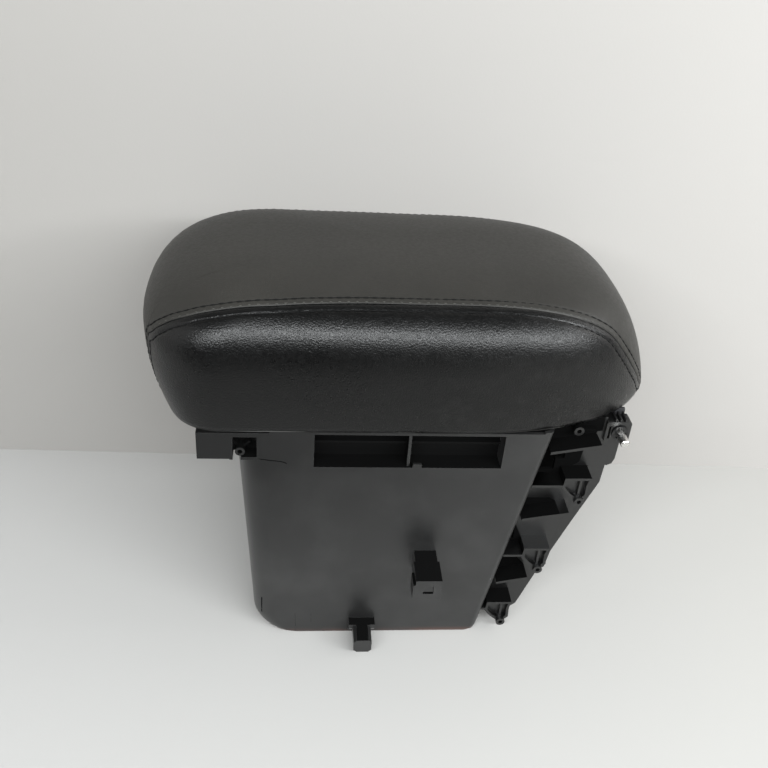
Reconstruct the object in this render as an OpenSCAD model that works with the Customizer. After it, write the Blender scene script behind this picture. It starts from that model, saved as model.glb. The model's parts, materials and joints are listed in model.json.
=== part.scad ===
// Car armrest: padded, sewn lid hinged at the rear on a deep moulded storage bin.
// X runs from the front end to the rear, Y across, Z up. Millimetres.

/* [Lid form] */
// Distance of the lid's front end from the centre
lid_front = 169; // [160:1:185]
// Distance of the lid's rear end from the centre
lid_rear = 169; // [165:1:185]
// Width across the lid's sides
lid_w = 177.4; // [168:0.2:186]
// Height from the lid's lower edge to its crown
lid_h = 88; // [70:1:95]
// Where the rounded rear end begins, from the centre
lid_rear_start = 25; // [20:1:60]
// Where the rounded front end begins, from the centre
lid_front_start = 114; // [95:1:125]
// How far the front end leans in at its foot
lid_front_lean = 11; // [4:0.5:12]
// Half distance between the two top seams, at mid length
seam_half = 67; // [55:1:72]
// Thickness of the sewn cover
cover_t = 1.4; // [1:0.1:2]
// Thickness of the foam
foam_t = 14; // [8:0.5:18]
// Wall of the hard frame inside the foam
frame_t = 2.6; // [2:0.1:4]
// Thickness of the liner that closes the lid from below
liner_t = 2.4; // [2:0.1:3]
// Gap between parts that lie on each other
seat_gap = 0.3; // [0.2:0.05:0.4]
// Gap between the foam and what it lies on
soft_gap = 0.8; // [0.6:0.1:1.2]

/* [Bin] */
// Height of the bin's rim above its flat bottom
bin_h = 182.6; // [160:0.2:200]
// Gap between the bin's rim and the closed lid
rim_gap = 1.4; // [1:0.1:3]
// Width across the bin's side walls
bin_w = 168; // [156:1:172]
// Front wall at the rim, from the centre
bin_front_top = 109; // [98:1:112]
// Front wall at the bottom, from the centre
bin_front_foot = 98; // [88:1:100]
// Rear wall at the rim, from the centre
bin_rear_top = 92.5; // [86:0.5:96]
// Rear wall at the bottom, from the centre
bin_rear_foot = 62.5; // [56:0.5:70]
// Wall of the bin
bin_t = 2.8; // [2:0.1:3.5]
// Floor of the bin
floor_t = 3; // [2:0.1:4]
// Radius of the bin's upright front corners
corner_r = 16; // [8:1:22]
// Radius between the front wall and the bottom
foot_r = 20; // [10:1:26]

/* [Side window and front flange] */
// Length of the side window
window_l = 120.5; // [90:0.5:130]
// Height of the side window
window_h = 25.5; // [15:0.5:30]
// Depth of the pocket behind the side window
window_d = 14; // [8:0.5:18]
// Wall of the pocket behind the side window
window_t = 2; // [1.5:0.1:3]
// How far the flange stands forward of the rim
flange_l = 23; // [16:0.5:30]
// Height of the flange's skirt
flange_h = 20; // [14:0.5:26]
// Thickness of the flange's plates
flange_t = 2.4; // [1.6:0.1:3]

/* [Pegs and clip towers] */
// Length of the locating peg
peg_l = 21.5; // [12:0.5:26]
// Width of the locating peg
peg_w = 12.6; // [8:0.2:16]
// Height of the locating peg
peg_h = 11.5; // [8:0.5:14]
// Length of the clip tower
tower_l = 29; // [20:0.5:32]
// Width of the clip tower
tower_w = 17.5; // [14:0.5:22]
// Height of the clip tower
tower_h = 16.5; // [12:0.5:20]
// Side of the clip tower's square hole
tower_hole = 7; // [4:0.5:9]

/* [Rear carrier] */
// Distance between the outer faces of the carrier's cheeks
cheek_w = 132; // [124:1:140]
// Thickness of the cheeks and shelves
cheek_t = 2.4; // [1.8:0.1:3.2]
// How far the shelves and screw towers stand out from the cheeks
shelf_d = 14; // [8:0.5:16]
// Outer diameter of the carrier's screw bosses
boss_d = 6.6; // [5.4:0.1:8]
// Hole in the carrier's screw bosses
boss_hole = 3; // [2:0.1:3.6]

/* [Hinge] */
// Hinge axis, from the centre
hinge_x = 140.5; // [136:0.5:144]
// Hinge axis below the closed lid
hinge_drop = 11.5; // [11:0.25:14]
// Diameter of the hinge rod
rod_d = 6; // [5:0.5:7]
// Length of the hinge rod
rod_l = 164; // [150:1:176]
// Running clearance on the radius
run_gap = 0.05; // [0.02:0.01:0.1]
// Side of the square hinge ears
ear_s = 16.6; // [15:0.2:18]
// Thickness of the hinge ears
ear_t = 10; // [7:0.5:12]
// Outer diameter of the lid's hinge knuckles
knuckle_d = 13; // [11:0.5:14]
// Outer diameter of the plastic bushes in the knuckles
bush_d = 9; // [7.6:0.2:10]

/* [Latch] */
// Width of the latch lever
lever_w = 34; // [24:1:44]
// Diameter of the latch pin
latch_pin_d = 3; // [2.5:0.5:4]
// Width of the hook and the striker
hook_w = 16; // [10:1:20]
// Clearance between the hook's nose and the striker's lip
hook_gap = 0.3; // [0.2:0.1:0.6]

/* [Hidden] */
$fn = 40;
// Overlap that lets cuts and joined shapes run past a face
eps = 0.2;

// Heights of the layers in the lid
lid_z = bin_h + rim_gap;
cover_z = lid_z + liner_t + seat_gap;
brim_t = 2.5;
foam_z = cover_z + brim_t + seat_gap;
crown_z = lid_z + lid_h;
// Inward offsets of the layers' outer faces
foam_in = cover_t + soft_gap;
frame_in = foam_in + foam_t + soft_gap;
cavity_in = frame_in + frame_t;

// Superellipse powers of the lid: plan outline, then profile, for side, rear and front
plan_rear = 2.3;
plan_front = 2.33;
power_r = [3, 6.6, 5.2];
power_z = [3.8, 1, 2.1];
// Height and inset of the widest level for side, rear and front
bulge_z = [24.8, 1, 45];
bulge_in = [1.3, 1.6, lid_front_lean];
// Share of the profile that lies below the widest level
low_share = 0.2;
// Stations around one half of the lid, for the inner layers and for the cover: turns of the rear
// end, steps along the side, turns of the front end, and rings up to the crown
rear_turn = [[0, 18, 36, 54, 72, 90], [0, 10, 21, 21.5, 23, 26, 30, 36, 42, 50, 60, 75, 90]];
side_steps = [3, 4];
front_turn = [[20, 40, 60, 75, 90],
    [12, 22, 32, 40, 46, 50, 53, 56, 57.9, 58.2, 58.5, 58.8, 64, 72, 80, 90]];
n_up = [8, 10];
n_half = [for (m = [0, 1]) len(rear_turn[m]) + side_steps[m] + len(front_turn[m]) - 1];
n_plan = 2*n_half;
// Stations between which the seams climb from the foot at the rear, and come down again at the front
climb = [2, 3];
descent = [25, 28];

function mix3(v, w) = v[0]*(1 - w[0] - w[1]) + v[1]*w[0] + v[2]*w[1];

// Plan stations on one half of the lid, each with its place and its rear and front weights
function half_plan(d, m) = let (w = lid_w/2 - d, rr = lid_rear - d - lid_rear_start,
        ff = lid_front - d - lid_front_start) concat(
    [for (t = rear_turn[m])
        [lid_rear_start + rr*pow(cos(t), 2/plan_rear), w*pow(sin(t), 2/plan_rear), pow(cos(t), 2), 0]],
    [for (i = [1:side_steps[m]])
        [lid_rear_start - (lid_rear_start + lid_front_start)*i/side_steps[m], w, 0, 0]],
    [for (t = front_turn[m]) [-lid_front_start - ff*pow(sin(t), 2/plan_front),
        w*pow(cos(t), 2/plan_front), 0, pow(sin(t), 2)]]);
function plan(d, m = 0) = let (h = half_plan(d, m)) concat(h,
    [for (i = [n_half[m] - 1:-1:1]) [h[i][0], -h[i][1], h[i][2], h[i][3]]]);

// Point of the lid at plan station q, share s of the way from the lower edge to the crown
function lid_pt(q, s, d) = let (w = [q[2], q[3]], zw = mix3(bulge_z, w), k = min(1, s/low_share),
        f = 90*max(0, s - low_share)/(1 - low_share), inset = mix3(bulge_in, w)*pow(1 - k, 2),
        r = s <= low_share ? 1 - inset/norm([q[0], q[1]]) : pow(cos(f), 2/mix3(power_r, w)),
        z = s <= low_share ? zw*k : zw + (crown_z - d - lid_z - zw)*pow(sin(f), 2/mix3(power_z, w)))
    [q[0]*r, q[1]*r, lid_z + z];
// Level at which a plan station reaches height z
function level_at(q, z, d) = let (w = [q[2], q[3]], zw = mix3(bulge_z, w), h = z - lid_z)
    h <= zw ? low_share*h/zw : low_share + (1 - low_share)/90
        *asin(pow((h - zw)/(crown_z - d - lid_z - zw), mix3(power_z, w)/2));

// Half distance between the seams at x, as shares of seam_half
seam_line = [[-172, 0.4], [-168, 0.58], [-165, 0.68], [-162, 0.76], [-156.8, 0.882], [-147.4, 0.982],
    [-132.8, 1.046], [-115.5, 1.064], [-89.9, 1.051], [-64, 1.022], [-29, 1.003], [22.8, 1], [75.7, 0.987],
    [94.3, 0.97], [110.5, 0.94], [121.9, 0.908], [132.4, 0.876], [142.5, 0.808], [155.4, 0.646],
    [160.6, 0.545], [166, 0.46], [169, 0.42]];
function seam_y(x) = seam_half*lookup(x, seam_line);
// Level at which the seam crosses a plan station, found by halving
function seam_level(q, lo = low_share, hi = 0.999, n = 14) = let (m = (lo + hi)/2, p = lid_pt(q, m, 0))
    n == 0 ? m : abs(p[1]) > seam_y(p[0]) ? seam_level(q, m, hi, n - 1) : seam_level(q, lo, m, n - 1);
// Level where the top panel starts at each station of one half
half_starts = let (h = half_plan(0, 1)) [for (i = [0:n_half[1]])
    i <= climb[0] || i >= descent[1] ? 0
        : i < climb[1] ? seam_level(h[climb[1]])*(i - climb[0])/(climb[1] - climb[0])
        : i > descent[0] ? seam_level(h[descent[0]])*(descent[1] - i)/(descent[1] - descent[0])
        : seam_level(h[i])];
top_starts = concat(half_starts, [for (i = [n_half[1] - 1:-1:1]) half_starts[i]]);

// Share of the way up for ring k of n, with close rings at the foot
function up_share(k, n) = k < 3 ? 0.09*k : 0.18 + 0.82*(k - 2)/(n - 2);
// Ring k of a layer d inside the cover, which starts at level start[i] of each station
function ring(d, start, k, m = 0) = let (p = plan(d, m), u = up_share(k, n_up[m]))
    [for (i = [0:n_plan[m] - 1]) lid_pt(p[i], start[i] + (1 - start[i])*u, d)];
function start_at(d, z) = [for (q = plan(d)) level_at(q, z, d)];
function edge_ring(d, z) = ring(d, start_at(d, z), 0);
function crown(d) = [0, 0, crown_z - d];

// Closed skin from a first pole, through rings of n points each, to a last pole. The first turned
// bands have their diagonals the other way, so that layers lie parallel.
module skin(first, rings, last, n, turned = 0) {
    m = len(rings);
    points = concat([first], [for (r = rings) each r], [last]);
    sides = [for (k = [0:m - 2], i = [0:n - 1]) let (a = 1 + k*n, b = a + n, j = (i + 1) % n)
        each k < turned ? [[a + i, b + i, a + j], [b + i, b + j, a + j]]
            : [[a + i, b + i, b + j], [a + i, b + j, a + j]]];
    caps = [for (i = [0:n - 1]) let (j = (i + 1) % n, a = 1 + (m - 1)*n)
        each [[0, 1 + i, 1 + j], [a + i, m*n + 1, a + j]]];
    polyhedron(points, concat(sides, caps));
}
// Hollow cap between two offsets, from level start_in and start_out up to the crown
module cap_shell(d_out, start_out, d_in, start_in, foot = [], m = 0) {
    inner = [for (k = [n_up[m] - 1:-1:0]) ring(d_in, start_in, k, m)];
    outer = [for (k = [0:n_up[m] - 1]) ring(d_out, start_out, k, m)];
    skin(crown(d_in), concat(inner, foot, outer), crown(d_out), n_plan[m], len(inner) - 1);
}

// Top panel of the cover, between the seams
module cover_top() color([0.17, 0.17, 0.175]) cap_shell(0, top_starts, cover_t, top_starts, m = 1);

// Side panel of the cover, from its lower edge up to the seam
module side_panel() color([0.14, 0.14, 0.15]) {
    half = half_plan(0, 1);
    within = half_plan(cover_t, 1);
    first = climb[0];
    last = descent[1];
    m = last - first - 1;
    n = 8;
    cols = [for (side = [0, 1], i = [first + 1:last - 1], k = [0:n])
        lid_pt(side == 0 ? half[i] : within[i], half_starts[i]*k/n, side*cover_t)];
    tips = [for (side = [0, 1], i = [first, last]) lid_pt(side == 0 ? half[i] : within[i], 0,
        side*cover_t)];
    c = m*(n + 1);
    tip = 2*c;
    grid = [for (j = [0:m - 2], k = [0:n - 1]) let (a = j*(n + 1) + k, d = a + n + 1)
        each [[a, a + 1, d + 1], [a, d + 1, d]]];
    fans = [for (k = [0:n - 1]) let (a = (m - 1)*(n + 1) + k) each [[tip, k + 1, k], [a, a + 1, tip + 1]]];
    outer = concat(grid, fans);
    inner = [for (f = outer) [for (i = [2, 1, 0]) f[i] < tip ? f[i] + c : f[i] + 2]];
    foot = concat([tip], [for (j = [0:m - 1]) j*(n + 1)], [tip + 1]);
    top = concat([tip], [for (j = [0:m - 1]) j*(n + 1) + n], [tip + 1]);
    in = function (i) i < tip ? i + c : i + 2;
    walls = [for (j = [0:m]) let (a = foot[j], d = foot[j + 1], p = top[j], q = top[j + 1])
        each [[a, d, in(d)], [a, in(d), in(a)], [q, p, in(p)], [q, in(p), in(q)]]];
    polyhedron(concat(cols, tips), concat(outer, inner, walls));
}
module cover_side_far() side_panel();
module cover_side_near() mirror([0, 1, 0]) side_panel();

// Foam between the cover and the frame
module lid_foam() color([0.75, 0.72, 0.6])
    cap_shell(foam_in, start_at(foam_in, foam_z), foam_in + foam_t, start_at(foam_in + foam_t, foam_z));

// Screw places along both long sides of the lid
liner_screw_x = [-98, -30, 38];
function liner_screw_y(x) = lid_w/2 - cavity_in - 3.4;
bracket_x = [88, 112];
bracket_y = 26;
column_d = 8;
liner_screw_d = 3.2;
thread_gap = 0.05;
screw_deep = 12;

// Hard frame: dome, brim and screw columns
module lid_frame() color([0.2, 0.2, 0.21]) {
    top = cover_z + brim_t;
    start_out = start_at(frame_in, foam_z);
    start_in = start_at(cavity_in, cover_z);
    foot = [edge_ring(foam_in, cover_z), edge_ring(foam_in, top), edge_ring(frame_in, top)];
    difference() {
        union() {
            cap_shell(frame_in, start_out, cavity_in, start_in, foot);
            intersection() {
                screw_columns();
                skin([0, 0, cover_z], [for (k = [0:n_up[0] - 1]) ring(cavity_in - 1, start_in, k)],
                    crown(cavity_in - 1), n_plan[0]);
            }
        }
        screw_places() translate([0, 0, -eps]) cylinder(d = liner_screw_d + 2*thread_gap,
            h = screw_deep + eps);
        bracket_places() translate([0, 0, -eps]) cylinder(d = liner_screw_d + 2*thread_gap,
            h = screw_deep + eps);
        block([window_x[0], -window_half - 1, cover_z - eps], [window_x[1], window_half + 1,
            pin_z + latch_room]);
    }
}
module screw_places() for (x = liner_screw_x, s = [-1, 1]) translate([x, s*liner_screw_y(x),
    cover_z]) children();
module bracket_places() for (x = bracket_x, s = [-1, 1]) translate([x, s*bracket_y,
    bracket_top]) children();
module screw_columns() {
    screw_places() cylinder(d = column_d, h = 30);
    bracket_places() cylinder(d = column_d + 1, h = lid_h);
}

// Outline of the lid at its foot, drawn in by d
function edge_line(d) = [for (q = plan(d, 1)) let (p = lid_pt(q, 0, d)) [p[0], p[1]]];
// Block between two corners
module block(a, b) translate(a) cube(b - a);
// Block repeated on both sides of the centre plane, from y0 to y1 out
module twin(x, y, z) for (s = [0, 1]) mirror([0, s, 0]) block([x[0], y[0], z[0]], [x[1], y[1], z[1]]);
// Outline in X and Z, extruded from y0 to y1
module slab(line, y0, y1) translate([0, y1, 0]) rotate([90, 0, 0]) linear_extrude(y1 - y0) polygon(line);
module twin_slab(line, y0, y1) for (s = [0, 1]) mirror([0, s, 0]) slab(line, y0, y1);
// Cylinder along Y, from y0 to y1
module rod_y(x, z, d, y0, y1) translate([x, y0, z]) rotate([-90, 0, 0]) cylinder(d = d, h = y1 - y0);
module twin_rod(x, z, d, y0, y1) for (s = [0, 1]) mirror([0, s, 0]) rod_y(x, z, d, y0, y1);

// Places on the hinge and the latch
hinge_z = lid_z - hinge_drop;
ear_out = cheek_w/2 + 2.5;
ear_in = ear_out - ear_t;
flange_out = 1.2;
knuckle_out = ear_in - 2*seat_gap - flange_out;
knuckle_l = 22;
knuckle_in = knuckle_out - knuckle_l;
arm_t = 5;
arm_x = 100;
arm_end = hinge_x - 8.5;
bracket_t = 2.5;
bracket_z = lid_z + liner_t + seat_gap;
bracket_top = bracket_z + bracket_t;
bracket_half = knuckle_in + arm_t;
slot_gap = 1;
latch_x = 32;
pin_x = -lid_front + latch_x;
pin_z = lid_z + 7;
window_x = [pin_x - 15, pin_x + 8];
window_half = lever_w/2 + 3;
latch_room = 8;
liner_edge = cover_t + 0.4;

// Lower panel of the lid with a shallow field, the latch window and the hinge slots
module lid_liner() color([0.13, 0.13, 0.14]) difference() {
    translate([0, 0, lid_z]) linear_extrude(liner_t) polygon(edge_line(liner_edge));
    translate([0, 0, lid_z - eps]) linear_extrude(0.8 + eps) intersection() {
        polygon(edge_line(liner_edge + 14));
        translate([window_x[1] + 14, -bin_w/2]) square([arm_x - 10 - window_x[1] - 14, bin_w]);
    }
    block([window_x[0], -window_half, lid_z - eps], [window_x[1], window_half, lid_z + liner_t + eps]);
    twin([arm_x - slot_gap, arm_end + slot_gap], [knuckle_in - slot_gap, bracket_half + slot_gap],
        [lid_z - eps, lid_z + liner_t + eps]);
    screw_places() {
        translate([0, 0, -liner_t - seat_gap - eps]) cylinder(d = 4, h = liner_t + 2*eps);
        translate([0, 0, -liner_t - seat_gap - eps]) cylinder(d = head_d + 1, h = 1.4 + eps);
    }
    bracket_places() translate([0, 0, -liner_t - seat_gap - bracket_t - eps])
        cylinder(d = head_d + 1, h = liner_t + 2*eps);
}
head_d = 7;
module pan_screw(length) {
    difference() {
        cylinder(d = head_d, h = 1.8);
        for (a = [0, 90]) rotate(a) translate([-2, -0.4, -eps]) cube([4, 0.8, 1.1 + eps]);
    }
    translate([0, 0, 1.7]) cylinder(d = liner_screw_d, h = length - 2.2);
    translate([0, 0, length - 0.5]) cylinder(d1 = liner_screw_d, d2 = 1.6, h = 1.2);
}
module liner_screws() color([0.3, 0.3, 0.31])
    screw_places() translate([0, 0, -liner_t - seat_gap - 0.5]) pan_screw(12);
module bracket_screws() color([0.62, 0.62, 0.6])
    bracket_places() translate([0, 0, -bracket_t - 1.8]) pan_screw(12);

// Hinge bracket: plate, two arms, knuckles and outer fins
fin_t = 2;
fin_y = [knuckle_in + 10, knuckle_out - fin_t];
module hinge_bracket() color([0.16, 0.16, 0.17]) difference() {
    union() {
        difference() {
            block([bracket_x[0] - 9, -bracket_half, bracket_z],
                [bracket_x[1] + 10, bracket_half, bracket_top]);
            bracket_places() translate([0, 0, -bracket_t - eps])
                cylinder(d = liner_screw_d + 0.6, h = bracket_t + 2*eps);
        }
        twin_slab([[arm_x, bracket_top], [arm_x, lid_z], [hinge_x - 5, hinge_z - 3], [hinge_x + 5,
            hinge_z - 2],
            [hinge_x + 6, hinge_z + 1], [hinge_x + 4, hinge_z + 6], [arm_end, lid_z], [arm_end - 6,
                bracket_top]],
            knuckle_in, knuckle_in + arm_t);
        for (y = fin_y) twin_slab([[arm_end - 4, lid_z - seat_gap], [hinge_x - 6, hinge_z], [hinge_x + 6,
            hinge_z],
            [hinge_x + 5, lid_z - seat_gap]], y, y + fin_t);
        twin_rod(hinge_x, hinge_z, knuckle_d, knuckle_in, knuckle_out);
    }
    twin_rod(hinge_x, hinge_z, bush_d, knuckle_in - eps, knuckle_out + eps);
}
module hinge_bushes() color([0.85, 0.84, 0.8]) for (s = [0, 1]) mirror([0, s, 0]) difference() {
    union() {
        rod_y(hinge_x, hinge_z, bush_d, knuckle_in, knuckle_out);
        rod_y(hinge_x, hinge_z, knuckle_d - 1, knuckle_out, knuckle_out + flange_out);
    }
    rod_y(hinge_x, hinge_z, rod_d + 2*run_gap, knuckle_in - eps, knuckle_out + flange_out + eps);
}
chamfer = 0.8;
module hinge_rod() color([0.78, 0.78, 0.77]) {
    rod_y(hinge_x, hinge_z, rod_d, -rod_l/2 + chamfer, rod_l/2 - chamfer);
    for (s = [0, 1]) mirror([0, s, 0]) translate([hinge_x, rod_l/2 - chamfer, hinge_z]) rotate([-90, 0, 0])
        cylinder(d1 = rod_d, d2 = rod_d - 2*chamfer, h = chamfer);
}
clip_t = 1;
module rod_clips() color([0.25, 0.25, 0.26]) for (s = [0, 1]) mirror([0, s, 0]) difference() {
    rod_y(hinge_x, hinge_z, rod_d + 5, ear_out + seat_gap, ear_out + seat_gap + clip_t);
    rod_y(hinge_x, hinge_z, rod_d + 2*run_gap, ear_out, ear_out + 2*seat_gap + clip_t);
    for (a = [0, 120, 240]) translate([hinge_x, ear_out, hinge_z]) rotate([0, a, 0])
        block([rod_d/2 - 0.5, 0, -0.6], [rod_d/2 + 1.2, 2*seat_gap + clip_t, 0.6]);
}

// Places on the front flange and its striker
flange_z = bin_h - 2.6;
flange_x = -bin_front_top - flange_l;
plate_t = 1.5;
lip_l = 6;
lip_x = -flange_x + plate_t + lip_l;
lip_z = flange_z - 8;
striker_screw_y = 12;
striker_screw_z = lip_z - 4.5;

// Latch housing: frame under the liner's window and two cheeks that hold the pin
bezel_t = 1;
bezel_w = 3;
cheek_y = lever_w/2 + 0.6;
cheek_wall = 1.8;
module latch_housing() color([0.12, 0.12, 0.13]) difference() {
    union() {
        block([window_x[0] - bezel_w, -window_half - bezel_w, lid_z - bezel_t],
            [window_x[1] + bezel_w, window_half + bezel_w, lid_z]);
        twin([pin_x - 5, pin_x + 6], [cheek_y, cheek_y + cheek_wall], [lid_z - bezel_t, pin_z + 5]);
    }
    block([window_x[0] + eps, -cheek_y, lid_z - bezel_t - eps], [window_x[1] - eps, cheek_y, lid_z + eps]);
    twin([window_x[0] + eps, pin_x - 5], [cheek_y - eps, window_half - eps], [lid_z - bezel_t - eps,
        lid_z + eps]);
    rod_y(pin_x, pin_z, latch_pin_d + 2*run_gap, -window_half - bezel_w, window_half + bezel_w);
}
// Latch lever: hub on the pin, finger tab in front and hook below
tab_x = pin_x - 19;
tab_z = lid_z - 5;
hook_z = lip_z - seat_gap;
hook_tip = -lip_x - hook_gap;
spring_gap = 12;
module latch_lever() color([0.1, 0.1, 0.11]) difference() {
    union() {
        rod_y(pin_x, pin_z, 9, -lever_w/2, lever_w/2);
        slab([[pin_x + 1, pin_z + 4.3], [pin_x - 4, pin_z + 2], [pin_x - 5.5, pin_z - 3],
            [pin_x - 9.5, lid_z - 0.6], [pin_x - 11.5, tab_z],
            [tab_x, tab_z], [tab_x - 0.8, tab_z - 1], [tab_x, tab_z - 2.4], [pin_x - 9, tab_z - 2.4],
            [pin_x - 6, lid_z - 3], [pin_x - 1, pin_z - 4]], -lever_w/2, lever_w/2);
        slab([[pin_x, pin_z - 4], [pin_x - 4.4, pin_z], [pin_x - 8.6, lid_z - 3], [pin_x - 8.6,
            hook_z - 3.4],
            [hook_tip - 1.5, hook_z - 3.4], [hook_tip, hook_z - 1], [hook_tip, hook_z],
            [pin_x - 5.2, hook_z], [pin_x - 5.2, lid_z - 6]], -hook_w/2, hook_w/2);
    }
    rod_y(pin_x, pin_z, latch_pin_d + 2*run_gap, -lever_w, lever_w);
    block([pin_x - 3.4, -spring_gap/2, pin_z - 6], [pin_x + 6, spring_gap/2, pin_z + 6]);
}
module latch_pin() color([0.75, 0.75, 0.74]) rod_y(pin_x, pin_z, latch_pin_d, -cheek_y - cheek_wall,
    cheek_y + cheek_wall);

// Torsion spring: round wire in five turns with two straight legs
wire_d = 0.8;
coil_r = latch_pin_d/2 + 0.4 + wire_d/2;
turns = 5;
turn_steps = 14;
coil_half = 4;
function spring_line() = let (n = turns*turn_steps) concat(
    [[coil_r, -coil_half, -7], [coil_r, -coil_half, -3]],
    [for (i = [0:n]) let (a = 360*i/turn_steps) [coil_r*cos(a), -coil_half + 2*coil_half*i/n,
        coil_r*sin(a)]],
    [[coil_r, coil_half, 3], [coil_r, coil_half, 5]]);
module wire(line, d, sides) {
    n = len(line);
    dirs = [for (i = [0:n - 1]) let (v = line[min(i + 1, n - 1)] - line[max(i - 1, 0)]) v/norm(v)];
    rings = [for (i = [0:n - 1]) let (u0 = cross(dirs[i], [0, 1, 0.2]), u = u0/norm(u0),
        v = cross(dirs[i], u))
        [for (j = [0:sides - 1]) let (a = 360*j/sides) line[i] + d/2*(cos(a)*u + sin(a)*v)]];
    skin(line[0], rings, line[n - 1], sides);
}
module latch_spring() color([0.7, 0.7, 0.68]) translate([pin_x, 0, pin_z]) wire(spring_line(), wire_d, 6);

// Steel striker on the front flange, with its lip
module striker() color([0.66, 0.66, 0.65]) difference() {
    union() {
        block([flange_x - plate_t, -striker_screw_y - 7, striker_screw_z - 5],
            [flange_x, striker_screw_y + 7, lip_z + plate_t]);
        block([-lip_x, -hook_w/2 - 1, lip_z], [flange_x, hook_w/2 + 1, lip_z + plate_t]);
    }
    for (s = [-1, 1]) translate([flange_x - plate_t - eps, s*striker_screw_y,
        striker_screw_z]) rotate([0, 90, 0])
        cylinder(d = liner_screw_d + 0.4, h = plate_t + 2*eps);
}
module striker_places() for (s = [-1, 1])
    translate([flange_x - plate_t, s*striker_screw_y, striker_screw_z]) rotate([0, 90, 0]) children();
module striker_screws() color([0.62, 0.62, 0.6]) striker_places() translate([0, 0, -1.8]) pan_screw(11);
stop_y = 56;
stop_d = 12;
stop_plug_d = 5;
module bump_stops() color([0.1, 0.1, 0.1]) twin_posts();
module twin_posts() for (s = [-1, 1]) translate([flange_x + flange_l/2, s*stop_y, 0]) {
    translate([0, 0, flange_z]) cylinder(d = stop_d, h = lid_z - flange_z - seat_gap - 0.8);
    translate([0, 0, lid_z - seat_gap - 0.8]) cylinder(d1 = stop_d, d2 = stop_d - 1.6, h = 0.8);
    translate([0, 0, flange_z - 5]) cylinder(d = stop_plug_d, h = 5 + eps);
}

// Bin: walls that lean in towards the bottom, with rounded feet
heel_r = 6;
edge_r = 3;
rear_corner_r = 5;
function quarter(r, z) = z < r ? r - sqrt(r*r - pow(r - z, 2)) : 0;
function lean(foot, top, z) = foot + (top - foot)*z/bin_h;
function bin_front(z) = -lean(bin_front_foot, bin_front_top, z) + quarter(foot_r, z);
function bin_rear(z) = lean(bin_rear_foot, bin_rear_top, z) - quarter(heel_r, z);
function bin_side(z) = bin_w/2 - quarter(edge_r, z);
function corner(x, y, r, a, n) = [for (i = [0:n]) [x + r*cos(a + 90*i/n), y + r*sin(a + 90*i/n)]];
function bin_line(z, d) = let (x0 = bin_front(z) + d, x1 = bin_rear(z) - d, y = bin_side(z) - d,
        f = max(1, corner_r - d), r = max(1, rear_corner_r - d))
    concat(corner(x1 - r, y - r, r, 0, 3), corner(x0 + f, y - f, f, 90, 7),
        corner(x0 + f, f - y, f, 180, 7), corner(x1 - r, r - y, r, 270, 3));
function bin_ring(z, d) = [for (p = bin_line(z, d)) [p[0], p[1], z]];
foot_levels = [0, 0.04, 0.15, 0.3, 0.55, 0.8, 1];
function mid(ring) = let (a = ring[0], b = ring[len(ring)/2]) (a + b)/2;
module bin_solid(d, z0, z1) {
    rings = concat([for (k = foot_levels) bin_ring(z0 + (foot_r - z0)*k, d)], [bin_ring(z1, d)]);
    skin(mid(rings[0]), rings, mid(rings[len(rings) - 1]), len(rings[0]));
}

// Side window with its pocket, ribs and lower tab
window_x0 = -59.5;
window_z1 = bin_h - 3.1;
window_z0 = window_z1 - window_h;
rib_t = 1.8;
side_y = bin_w/2;
module window_box() twin([window_x0 - window_t, window_x0 + window_l + window_t],
    [side_y - window_d - window_t, side_y - bin_t + eps], [window_z0 - window_t, bin_h]);
module window_cut() twin([window_x0, window_x0 + window_l], [side_y - window_d, side_y + eps],
    [window_z0, window_z1]);
module window_ribs() {
    mid_x = window_x0 + window_l/2;
    twin([mid_x - rib_t/2, mid_x + rib_t/2], [side_y - window_d - eps, side_y - 2],
        [window_z0 - eps, window_z1 + eps]);
    twin([window_x0 - eps, window_x0 + window_l + eps], [side_y - window_d - eps, side_y - window_d + 4],
        [window_z0 + window_h/2 - rib_t/2, window_z0 + window_h/2 + rib_t/2]);
    twin([mid_x + 3, mid_x + 8.5], [side_y - 2, side_y], [window_z0 - eps, window_z0 + 2.6]);
}

// Front flange: top plate, front and end skirts, inner webs
flange_z0 = flange_z - flange_h;
flange_end = corner_r - bin_front_top + 3;
module flange() {
    block([flange_x, -side_y, flange_z - flange_t], [flange_end, side_y, flange_z]);
    block([flange_x, -side_y, flange_z0], [flange_x + flange_t, side_y, flange_z]);
    twin([flange_x, flange_end], [side_y - flange_t, side_y], [flange_z0, flange_z]);
    for (y = [22, 48]) twin([flange_x, bin_t - bin_front_top], [y, y + flange_t - 0.4], [flange_z0 + 4,
        flange_z]);
    striker_places() translate([0, 0, plate_t]) cylinder(d = 7, h = 11);
}
// Screw recess at the foot of the flange, on both sides
recess_x0 = flange_x + 22;
recess_l = 15;
recess_d = 10;
recess_z0 = flange_z0 + 1.4;
recess_h = 15.5;
recess_boss = [recess_x0 + 4.5, recess_z0 + 3.6];
module recess_box() twin([recess_x0 - 2, recess_x0 + recess_l + 2], [side_y - recess_d - 2, side_y],
    [recess_z0 - 2, recess_z0 + recess_h + 2]);
module recess_cut() {
    twin([recess_x0, recess_x0 + recess_l], [side_y - recess_d, side_y + eps], [recess_z0,
        recess_z0 + recess_h]);
    twin([recess_x0, recess_x0 + 5], [side_y - recess_d, side_y + eps], [recess_z0 - 2 - eps,
        recess_z0 + eps]);
}
module recess_bosses() {
    twin_rod(recess_boss[0], recess_boss[1], boss_d - 0.4, side_y - recess_d - eps, side_y - 1);
    for (a = [40, 130, -50]) twin_slab([for (p = [[0, -0.7], [8, -0.7], [8, 0.7], [0, 0.7]])
        recess_boss + [p[0]*cos(a) - p[1]*sin(a), p[0]*sin(a) + p[1]*cos(a)]], side_y - recess_d - eps,
            side_y - 5);
}

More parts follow.
